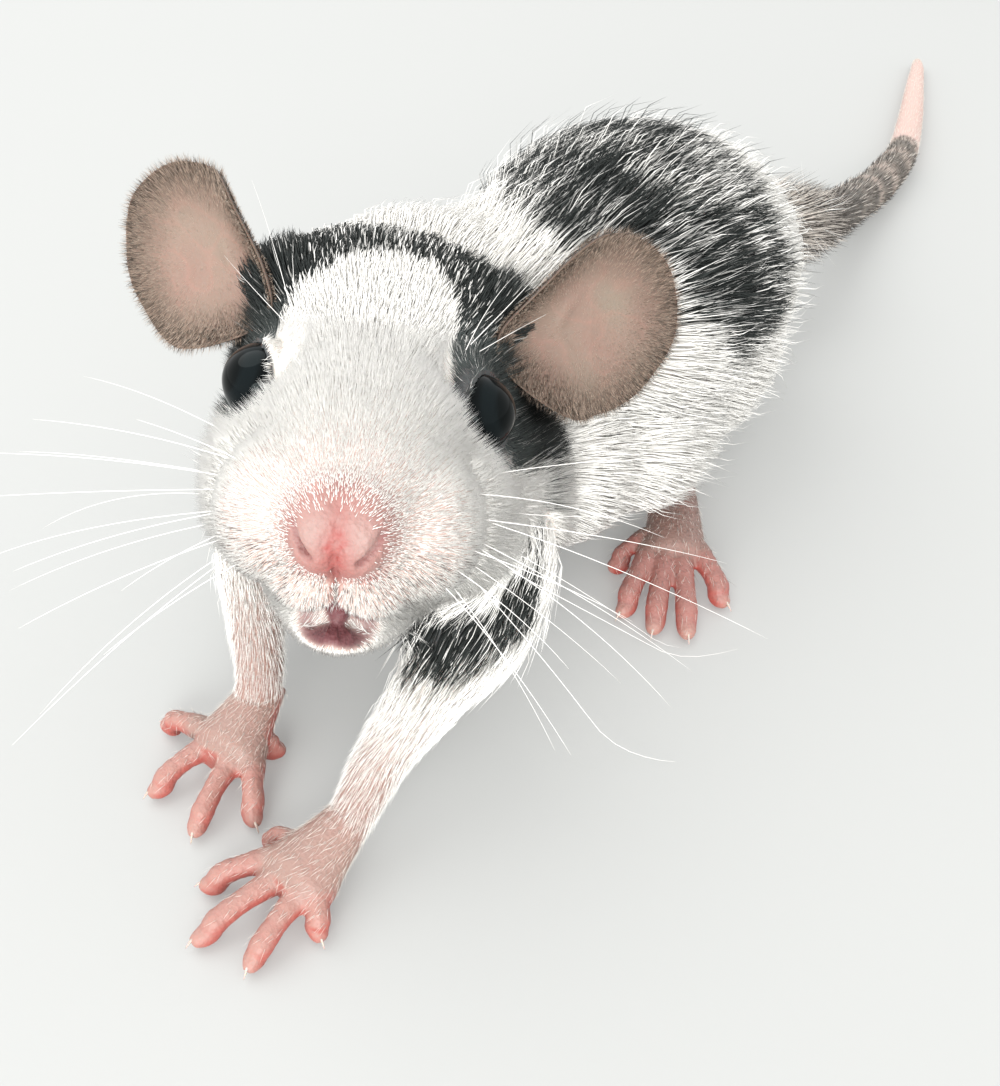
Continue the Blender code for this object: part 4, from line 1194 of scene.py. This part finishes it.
def ear_sheet(side):
    """The ear's middle sheet: rings from its middle to its rim, cupped, with a waist at its foot.

    With a the way round and s the share out to the rim, x = width/2 sin(a) (1 - waist f) s and
    z = length/2 (cos(a) - root f^1.5) s, where f = max(-cos a, 0)^2. The depth is a bowl that is deepest at
    the foot, a fold that grows with x^2 there, two waves round the rim and a ridge inside.
    """
    ear = EARS[side]
    grows = unit(sided(ear["grows"], side))
    front = sided(ear["faces"], side)
    front = unit(front - grows * (front @ grows))
    a, s = turns(EAR_SIDES)[None], np.linspace(0.02, 1, EAR_ROWS)[:, None]
    foot = np.clip(-np.cos(a), 0, 1) ** 2
    x = s * ear["width"] / 2 * np.sin(a) * (1 - EAR_WAIST * foot)
    z = s * ear["length"] / 2 * (np.cos(a) - EAR_ROOT * foot**1.5)
    low = np.clip(-z / ear["length"] * 2, 0, 1)
    cup = 2.2 * (0.6 + 0.8 * low)
    depth = ear["fold"] * low * (x / ear["width"] * 2) ** 2 - cup * (1 - s**2)
    wave = np.sin(3.1 * a + 0.4) * s**3 * 0.16 + 0.10 * np.sin(7 * a) * s**6
    ridge = 0.30 * bell(s - 0.42 - 0.10 * np.cos(a), 0.09) * smooth(-z, 0.2, 2.5)
    middle = sided(ear["at"], side) + grows * ear["length"] / 2
    across, out = np.cross(grows, front), (depth + wave + ridge)[..., None]
    return middle + grows * z[..., None] + across * x[..., None] + front * out, front, s


def make_ear(side):
    """Two faces of the sheet a little apart, joined round the rim: rings from front middle to back middle."""
    sheet, front, s = ear_sheet(side)
    half = along(s, EAR_THICK)[..., None]
    points, faces = closed(from_head(np.concatenate([sheet + front * half, (sheet - front * half)[::-1]])))
    ear = mesh_from("ear_skin_" + side, points, faces)
    out = np.repeat(np.concatenate([s[:, 0], s[::-1, 0]]), EAR_SIDES)
    inner = np.arange(len(out)) < EAR_ROWS * EAR_SIDES
    h = to_head(points[:-2])
    veins = bell(ripple(h, 3.4, 63), 0.12) * (1 - smooth(out, 0.5, 0.9))
    layers = (
        (EAR_FLUSH, 0.5 + 0.5 * ripple(h, 4.5, 61)), (EAR_RIM, smooth(out, 0.32, 1.0) * 0.92),
        (EAR_VEIN, 0.18 * veins),
    )
    colour = np.where(inner[:, None], layered(EAR_MIDDLE, layers), mixed(EAR_BACK, EAR_BACK_RIM, out))
    painted(ear, np.vstack([colour, colour[:1], colour[-1:]]))
    return ear


def make_ear_hair(side, seed):
    """Short hair that lies outwards over both faces of the ear, denser towards the rim."""
    sheet, front, _ = ear_sheet(side)
    draw = np.random.default_rng(seed)
    count = EAR_HAIRS
    r = 1 + np.sqrt(draw.random(count)) * (EAR_ROWS - 2.01)
    k = draw.random(count) * EAR_SIDES
    row, col = r.astype(int), k.astype(int) % EAR_SIDES
    following = (col + 1) % EAR_SIDES
    fr, fc = (r - row)[:, None], (k - k.astype(int))[:, None]
    near = sheet[row, col] * (1 - fc) + sheet[row, following] * fc
    far = sheet[row + 1, col] * (1 - fc) + sheet[row + 1, following] * fc
    out = unit(sheet[row + 1, col] - sheet[row - 1, col])
    along_rim = unit(sheet[row, following] - sheet[row, col])
    normal = unit(np.cross(out, along_rim))
    normal = normal * np.sign(normal @ front)[:, None]
    share = r / (EAR_ROWS - 1)
    behind = draw.random(count) < 0.45
    normal = np.where(behind[:, None], -normal, normal)
    keep = behind | (draw.random(count) < 0.22 + 0.78 * smooth(share, 0.25, 0.95))
    lie = pressed(unit(out + along_rim * 0.22 * draw.normal(size=(count, 1))), normal)
    length = np.where(behind, 0.6, 0.42 + 0.2 * smooth(share, 0.5, 1.0)) * draw.uniform(0.7, 1.3, count)
    root = near * (1 - fr) + far * fr + normal * along(share, EAR_THICK)[:, None] * 0.9
    dark = np.where(behind, 0.85, smooth(share, 0.25, 1.0)) * (draw.random(count) < 0.5)
    base, tip = (mixed(pale, black, dark) for pale, black in zip(EAR_HAIR_PALE, EAR_HAIR_DARK))
    turn = k / EAR_SIDES * 2 * np.pi
    half = np.where(behind, 0.75, 0.25)
    uv = np.stack([half + 0.23 * share * np.cos(turn), 0.5 + 0.46 * share * np.sin(turn)], 1)
    lift = np.radians(draw.uniform(6, 18, count) + 6 * smooth(share, 0.85, 1.0))
    radius = 0.021 * draw.uniform(0.8, 1.2, count)
    sway = 0.05 * draw.normal(size=count)
    root, normal, lie = from_head(root), normal @ HEAD.T, lie @ HEAD.T
    hairs = root, normal, lie, length, lift, lift, radius, base, tip, uv, sway
    return tufts("ear_hair_" + side, hairs, keep, 1)


def thin_tubes(name, lines, radii, sides=5):
    """Fine tapering tubes, all with the same number of rows: lines (n, rows, 3) and radii (n, rows)."""
    count, rows, _ = lines.shape
    ahead = unit(np.gradient(lines, axis=1))
    across = unit(np.cross(ahead, np.array((0.13, 0.31, 0.94))))
    turn = (2 * np.pi * np.arange(sides) / sides)[None, None, :, None]
    ring = across[:, :, None] * np.cos(turn) + np.cross(ahead, across)[:, :, None] * np.sin(turn)
    points = (lines[:, :, None] + ring * radii[:, :, None, None]).reshape(-1, 3)
    last = (rows - 1) * sides
    caps = [(0, k + 1, k) for k in range(1, sides - 1)]
    caps += [(last, last + k, last + k + 1) for k in range(1, sides - 1)]
    one = np.vstack([tube_faces(rows, sides), caps])
    every = repeated(one, count, rows * sides)
    a, b, c = (points[one] - points[: rows * sides].mean(0)).transpose(1, 0, 2)
    return mesh_from(name, points, every[:, ::-1] if (a * np.cross(b, c)).sum() < 0 else every)


# Whiskers: height and rise of each row on the pad, place, backward sweep and length of each column, and the
# root, way and length of each one above the eye. Below WHISKER_LOW they level out over the floor, and the
# share WHISKERS_MISSING of the pad's is left out.
WHISKER_ROWS = ((-3.6, 0.14), (-4.9, -0.08), (-6.1, -0.30), (-7.2, -0.52), (-8.3, -0.74))
WHISKER_COLUMNS = ((-11.4, -0.05, 10), (-9.6, 0.16, 17), (-7.8, 0.38, 23), (-6.2, 0.60, 27))
BROW_WHISKERS = (
    ((5.6, 0.2, 4.4), (0.42, 0.62, 0.66), 15), ((5.2, -0.8, 4), (0.22, 0.70, 0.68), 11),
    ((6.2, 1, 3.9), (0.66, 0.60, 0.45), 9),
)
WHISKER_SCALE = {"left": 1.0, "right": 0.82}
WHISKER_LOW, WHISKER_LOWEST, WHISKERS_MISSING = 4.0, 0.3, 0.2


def make_whiskers(side, seed):
    """Rows and columns of whiskers on the pad, and a few above the eye: root + way l s + bend l s^2."""
    draw = np.random.default_rng(seed)
    scale, found = WHISKER_SCALE[side], []
    for row, (z, rise) in enumerate(WHISKER_ROWS):
        for y, sweep, length in WHISKER_COLUMNS:
            if draw.random() < WHISKERS_MISSING:
                continue
            x = 6.3 + 0.09 * (y + 8) - 0.35 * abs(row - 2)
            root = (x, y + 0.3 * draw.normal(), z + 0.2 * draw.normal())
            way = (0.9, sweep + 0.12 * draw.normal(), rise + 0.11 * draw.normal())
            found.append((root, way, length * draw.uniform(0.72, 1.12) * scale))
    found += [(at, np.array(way) + 0.05 * draw.normal(size=3), length) for at, way, length in BROW_WHISKERS]
    roots, ways, lengths = (np.array(part) for part in zip(*found))
    lengths = lengths[:, None, None]
    s = np.linspace(-0.03, 1, 15)[None, :, None]
    bend = np.array((0.0, 0.10, -0.12)) + 0.06 * draw.normal(size=(len(roots), 1, 3))
    lines = roots[:, None] + unit(ways)[:, None] * lengths * s + bend * lengths * np.clip(s, 0, 1) ** 2
    radii = 0.026 * (1 - np.clip(s[..., 0], 0, 1)) ** 0.7 + 0.008
    radii = radii * (0.7 + 0.3 * lengths[..., 0] / 27) * scale
    lines = from_head(lines * (SIDES[side], 1, 1))
    z = lines[..., 2]
    z = np.where(z < WHISKER_LOW, WHISKER_LOW * np.exp(z / WHISKER_LOW - 1), z)
    lines[..., 2] = np.maximum(z, WHISKER_LOWEST)
    return thin_tubes("whiskers_" + side, lines, radii)


def paw_parts(name):
    """Palm stations; each digit's stations from root to tip, its end and its way; and the paw's sizes."""
    wrist, palm, tips = (np.array(part) for part in PAWS[name])
    paw = DIGITS[name[:4]]
    ahead = unit(palm - wrist)
    width = paw["palm"]
    stations = []
    for t, wide, high in PALM_SHAPE:
        stations.append((*(wrist + (palm - wrist) * t), width * wide * 0.97, high * 0.95))
    beyond, wide, high = PALM_END
    stations.append((*(palm + unit(ahead * (1, 1, 0)) * beyond), width * wide * 0.97, high * 0.9))
    digits = []
    for thumb, tip in zip((True, False, False, False, False), tips):
        end = np.array((*tip, paw["low"]))
        lead = unit(end - palm)
        sideways = (end - palm) - ahead * ((end - palm) @ ahead)
        root = palm + sideways * 0.42 - ahead * (1.4 if thumb else 0.2)
        root[2] = paw["high"]
        radius = paw["thumb" if thumb else "root"]
        middle = (root + end) / 2 + (0, 0, 0.5)
        rows = [
            (*root, radius * 1.00),
            (*(root * 0.6 + middle * 0.4), radius * 0.98),
            (*middle, radius * 0.80),
            (*(middle * 0.45 + end * 0.55 + (0, 0, 0.18)), radius * 0.86),
            (*(end - lead * 0.9), paw["tip"] * 0.98),
            (*(end - lead * 0.15), paw["tip"] * 0.84),
            (*(end + lead * 0.3), paw["tip"] * 0.45),
        ]
        digits.append((rows, end, lead))
    return stations, digits, paw


def make_paw(name):
    """Palm and digits as one skin, with creases across each digit, pads under it, deep pink between, and
    painted shade between the digits, in the creases and on a hind foot's top.
    """
    stations, digits, sizes = paw_parts(name)
    shapes = [tube(stations, 40)]
    for rows, end, lead in digits:
        pad = end - lead * 0.55 - (0, 0, 0.22)
        half = (sizes["tip"] * 0.85, sizes["tip"] * 0.85, 0.5)
        shapes += [tube(rows, 24), closed(ball_rings(pad, half, 10, 16))]
    paw = fused(name + "_skin", shapes, PAW_CELL, 5)
    p, n = points_of(paw.data), normals_of(paw.data)
    found = []
    for rows, _, _ in digits:
        curve = spline(rows, 4)
        reach = travelled(curve[:, :3])
        found += [(size(p - row[:3]) - row[3], far) for row, far in zip(curve, reach / reach[-1])]
    best, share = least(found)
    on_digit = smooth(share, 0.12, 0.3) * smooth(-best, -0.6, -0.2)
    rings = np.cos(share * 2 * np.pi * CREASES)
    creases = 0.018 * rings * on_digit * (0.5 + 0.5 * smooth(n[:, 2], -0.2, 0.5))
    p = p + n * (creases + 0.008 * ripple(p, 0.8, 71))[:, None]
    p[:, 2] = np.maximum(p[:, 2], 0.0)
    moved_to(paw.data, p)
    kind = name[:4]
    # The skin's own deep red between the digits, darkened as painted shade on faces turned away from above.
    between = (1 - smooth(normals_of(paw.data)[:, 2], 0.0, 0.80)) * smooth(share, 0.05, 0.22)
    # On a hind foot, painted shadow of the body, darker away from the digits' tips.
    top = mixed(HIND_FOOT_SHADOW, PAW_SKIN, 0.35 + 0.3 * smooth(share, 0.0, 0.6)) if kind == "hind" else PAW_SKIN
    layers = (
        (DIGIT_SKIN[kind], on_digit), (RED_SHADE_BETWEEN_DIGITS, between * BETWEEN_SHADE_SHARE[kind]),
        (DIGIT_TIP, smooth(share, 0.86, 0.98) * on_digit * 0.7),
        # Painted shade in the grooves of the creases.
        (DIGIT_CREASE_SHADE, 0.22 * (np.clip(-rings, 0, 1) ** 2 * on_digit)),
    )
    painted(paw, layered(top, layers))
    return paw


def make_paw_hair(name, paw, seed):
    """Fine short hairs on the paw's upper side, thickest over the wrist, that lie towards the digits."""
    wrist, palm = np.array(PAWS[name][0]), np.array(PAWS[name][1])
    ahead = unit((palm - wrist) * (1, 1, 0))
    hind = name.startswith("hind")

    def density(p):
        share = (p - wrist) @ ahead / size(palm - wrist)
        return smooth(p[:, 2], 1.0, 2.2) * along(share, ((-0.6, 12), (0.2, 12), (1, 5), (1.6, 2.5), (2.6, 0)))

    p, n, draw = roots_on(paw.data, density, seed)
    count = len(p)
    lie = pressed(unit(ahead + 0.25 * draw.normal(size=(count, 3)) * (1, 1, 0)), n)
    length = draw.uniform(0.5, 1.1, count) * (1.2 if hind else 1.0)
    dark = draw.random((count, 1)) < (0.35 if hind else 0.0)
    base = np.where(dark, *PAW_HAIR)
    lift = np.radians(draw.uniform(8, 22, count))
    radius = 0.020 * draw.uniform(0.8, 1.2, count)
    uv = on_map(*((p - p.min(0)) / np.ptp(p, 0)).T[:2])
    sway = 0.1 * draw.normal(size=count)
    return tufts(name + "_hair", (p, n, lie, length, lift, lift, radius, base, base, uv, sway), rows=1)


def make_claws(name):
    """Curved claws, one to each digit but the thumb."""
    _, digits, paw = paw_parts(name)
    s = np.linspace(0, 1, 9)[:, None]
    far = -0.35 + (paw["claw"] * 1.15 + 0.35) * s
    high = np.array(UP) * (0.26 + 0.14 * np.sin(np.pi * s) - 0.42 * s**2)
    lines = np.array([end + lead * far + high for _, end, lead in digits[1:]])
    return thin_tubes(name + "_claws", lines, np.tile(0.135 * (1 - s[:, 0]) ** 0.7 + 0.02, (4, 1)), 8)


TAIL_ROWS, TAIL_SIDES, TAIL_HAIRS = 420, 40, 5200
TAIL_CURVE = spline(TAIL_STATIONS, 40)
# The length of one ring of scales.
TAIL_RING = 0.62
# Place along Y and half width of each pale band.
TAIL_BANDS = ((52.5, 1.1), (59, 1.3), (65.6, 1.3), (70.6, 0.9))


def tail_colours(p):
    """Grey-brown with pale bands up to the pink end."""
    y = p[:, 1]
    layers = [(TAIL_DARKER, 0.5 + 0.5 * ripple(p, 3.0, 81))]
    layers += [(TAIL_BAND, bell(y - at + 0.35 * ripple(p, 2.0, 83), half) * 0.75) for at, half in TAIL_BANDS]
    return layered(TAIL_DARK, layers + [(TAIL_PINK, smooth(y + 0.5 * ripple(p, 2.0, 85), 71.0, 72.6))])


def make_tail():
    """A tapering tube along the stations, with a low ridge at each ring of scales."""
    fine, _ = between(TAIL_CURVE, np.linspace(0, len(TAIL_CURVE) - 1, TAIL_ROWS))
    reach = travelled(fine[:, :3])
    radius = fine[:, 3] - 0.12 + 0.022 * np.cos(2 * np.pi * reach / TAIL_RING)
    rings = rings_along(np.column_stack([fine[:, :3], radius]), TAIL_SIDES)
    rings[..., 2] = np.maximum(rings[..., 2], 0.0)
    points, faces = closed(rings)
    tail = mesh_from("tail_skin", points, faces)
    painted(tail, tail_colours(points))
    a = np.tile(np.arange(TAIL_SIDES) / TAIL_SIDES, TAIL_ROWS)
    where = np.column_stack([np.repeat(reach, TAIL_SIDES), a, 0 * a])
    where = np.vstack([where, where[:1], where[-1:]])
    layer = tail.data.attributes.new("Rings", "FLOAT_VECTOR", "POINT")
    layer.data.foreach_set("vector", where.astype(np.float32).ravel())
    return tail


def make_tail_hair():
    """Short hairs that lie along the tail, longest near the rump."""
    draw = np.random.default_rng(SEEDS["tail hair"])
    share = draw.random(TAIL_HAIRS) ** 1.25
    count = TAIL_HAIRS
    row, k = between(TAIL_CURVE, share * (len(TAIL_CURVE) - 2))
    ahead = unit(TAIL_CURVE[k + 1, :3] - TAIL_CURVE[k, :3])
    turn = draw.uniform(0, 2 * np.pi, count)
    across = unit(np.cross(UP, ahead))
    normal = across * np.cos(turn)[:, None] + np.cross(ahead, across) * np.sin(turn)[:, None]
    root = row[:, :3] + normal * (row[:, 3:] - 0.14)
    y = root[:, 1]
    length = along(y, ((20, 5), (30, 3.2), (40, 1.9), (60, 1.2), (75, 0.9), (110, 0.6)))
    length = length * draw.uniform(0.7, 1.3, count)
    pale = (y > 71) | (draw.random(count) < along(y, ((22, 0.6), (27, 0.3), (45, 0.2), (80, 0.2))))
    base = np.where(pale[:, None], *TAIL_HAIR)
    lift = np.radians(along(y, ((20, 30), (40, 24), (110, 14))) * draw.uniform(0.5, 1.5, count))
    radius = 0.034 * draw.uniform(0.8, 1.2, count)
    uv, sway = on_map(share, turn / (2 * np.pi)), 0.06 * draw.normal(size=count)
    hairs = root, normal, ahead, length, lift, lift * 0.4, radius, base, base * 1.15, uv, sway
    return tufts("tail_hair", hairs, root[:, 2] > 0.25)


# The whole model

skin = make_skin()
painted(skin, skin_colours(points_of(skin.data)))
coat = make_coat(skin)
eyes = {side: make_eye(side) for side in SIDES}
ears = {side: make_ear(side) for side in SIDES}
ear_hair = [make_ear_hair(side, SEEDS["ear hair"] + k) for k, side in enumerate(SIDES)]
whiskers = [make_whiskers(side, SEEDS["whiskers"] + k) for k, side in enumerate(SIDES)]
paws = {name: make_paw(name) for name in PAWS}
paw_hair = [make_paw_hair(name, paws[name], SEEDS["paw hair"] + k) for k, name in enumerate(PAWS)]
claws = [make_claws(name) for name in PAWS]
tail = make_tail()
tail_hair = make_tail_hair()

coat_finish().wear(*coat, *ear_hair, *paw_hair, tail_hair)
skin_finish("flesh", 4200.0, 0.6, 0.42).wear(skin)
skin_finish("paw_flesh", 3800.0, 0.45, 0.38, 0.20).wear(*paws.values())
skin_finish("ear_flesh", 4200.0, 0.25, 0.45, 0.10).wear(*ears.values())
eye_finish().wear(*eyes.values())
whisker_finish().wear(*whiskers)
claw_finish().wear(*claws)
tail_finish().wear(tail)

slots = {
    "white_coat": [skin, *coat],
    "eye": [*eyes.values()],
    "ear": [*ears.values(), *ear_hair],
    "bare_skin": [*paws.values(), *paw_hair],
    "tail_dark": [tail, tail_hair],
}
for slot, pieces in slots.items():
    for piece in pieces:
        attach(piece, "root")
for piece in claws + whiskers:
    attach(piece, "root")
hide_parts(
    "head", "muzzle", "jaw", "neck", "chest", "rump", "upper_arm_left", "upper_arm_right",
    "forearm_left", "forearm_right", "thigh_left", "thigh_right",
)
for side in SIDES:
    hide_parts("eye_" + side)
    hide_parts("ear_" + side)
for name, paw in paws.items():
    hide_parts(name)
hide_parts("tail_base", "tail_middle", "tail_tip")


# Floor, light and camera


def make_floor():
    corners = np.array([(-1500.0, -1500, 0), (1500, -1500, 0), (1500, 1500, 0), (-1500, 1500, 0)])
    floor = mesh_from("floor", corners, np.array([[0, 1, 2, 3]]))
    finish = Finish("floor_paper", Roughness=0.6, Specular_IOR_Level=0.2)
    shade = finish.mix(finish.noise(6.0, 2.0), (0.318, 0.325, 0.318, 1), (0.332, 0.338, 0.332, 1))
    finish.set(Base_Color=shade, Emission_Color=(1.0, 1.0, 0.985, 1), Emission_Strength=0.22)
    finish.wear(floor)


def place(p):
    """A place of the body's frame in metres of the scene."""
    return Vector(((np.asarray(p, float) + SHIFT) * MM).tolist())


def make_light(name, at, target, diameter, power, colour):
    data = bpy.data.lights.new(name, "AREA")
    data.shape, data.size, data.energy, data.color = "DISK", diameter, power, colour
    obj = bpy.data.objects.new(name, data)
    obj.location = place(at)
    obj.rotation_mode = "QUATERNION"
    obj.rotation_quaternion = (place(target) - place(at)).to_track_quat("-Z", "Y")
    bpy.context.scene.collection.objects.link(obj)


def make_camera():
    data = bpy.data.cameras.new("camera")
    data.sensor_width = 36.0
    data.lens = CAMERA_FOCAL / PICTURE_HEIGHT * data.sensor_width
    data.clip_start, data.clip_end = 0.002, 20.0
    obj = bpy.data.objects.new("camera", data)
    a, f = math.radians(CAMERA_AZIMUTH), math.radians(CAMERA_FALL)
    level, upright = Vector((-math.sin(a), math.cos(a), 0)), Vector(UP)
    ahead = level * math.cos(f) - upright * math.sin(f)
    above = level * math.sin(f) + upright * math.cos(f)
    right = Vector((math.cos(a), math.sin(a), 0))
    turned = Matrix((right, above, -ahead)).transposed().to_4x4()
    obj.matrix_world = Matrix.Translation(place(CAMERA_AT)) @ turned
    bpy.context.scene.collection.objects.link(obj)
    bpy.context.scene.camera = obj


make_floor()
make_light("key", (-260, -40, 460), (0, -20, 10), 0.5, 1.4, (1.0, 1.0, 0.99))
make_light("fill", (230, -400, 150), (4, -46, 16), 0.34, 2.4, (1.0, 0.995, 0.98))
make_camera()

world = bpy.data.worlds.new("studio")
world.use_nodes = True
sky = world.node_tree.nodes["Background"].inputs
sky["Color"].default_value, sky["Strength"].default_value = (1.0, 1.0, 0.995, 1.0), 1.34
bpy.context.scene.world = world
bpy.context.scene.view_settings.view_transform = "Standard"
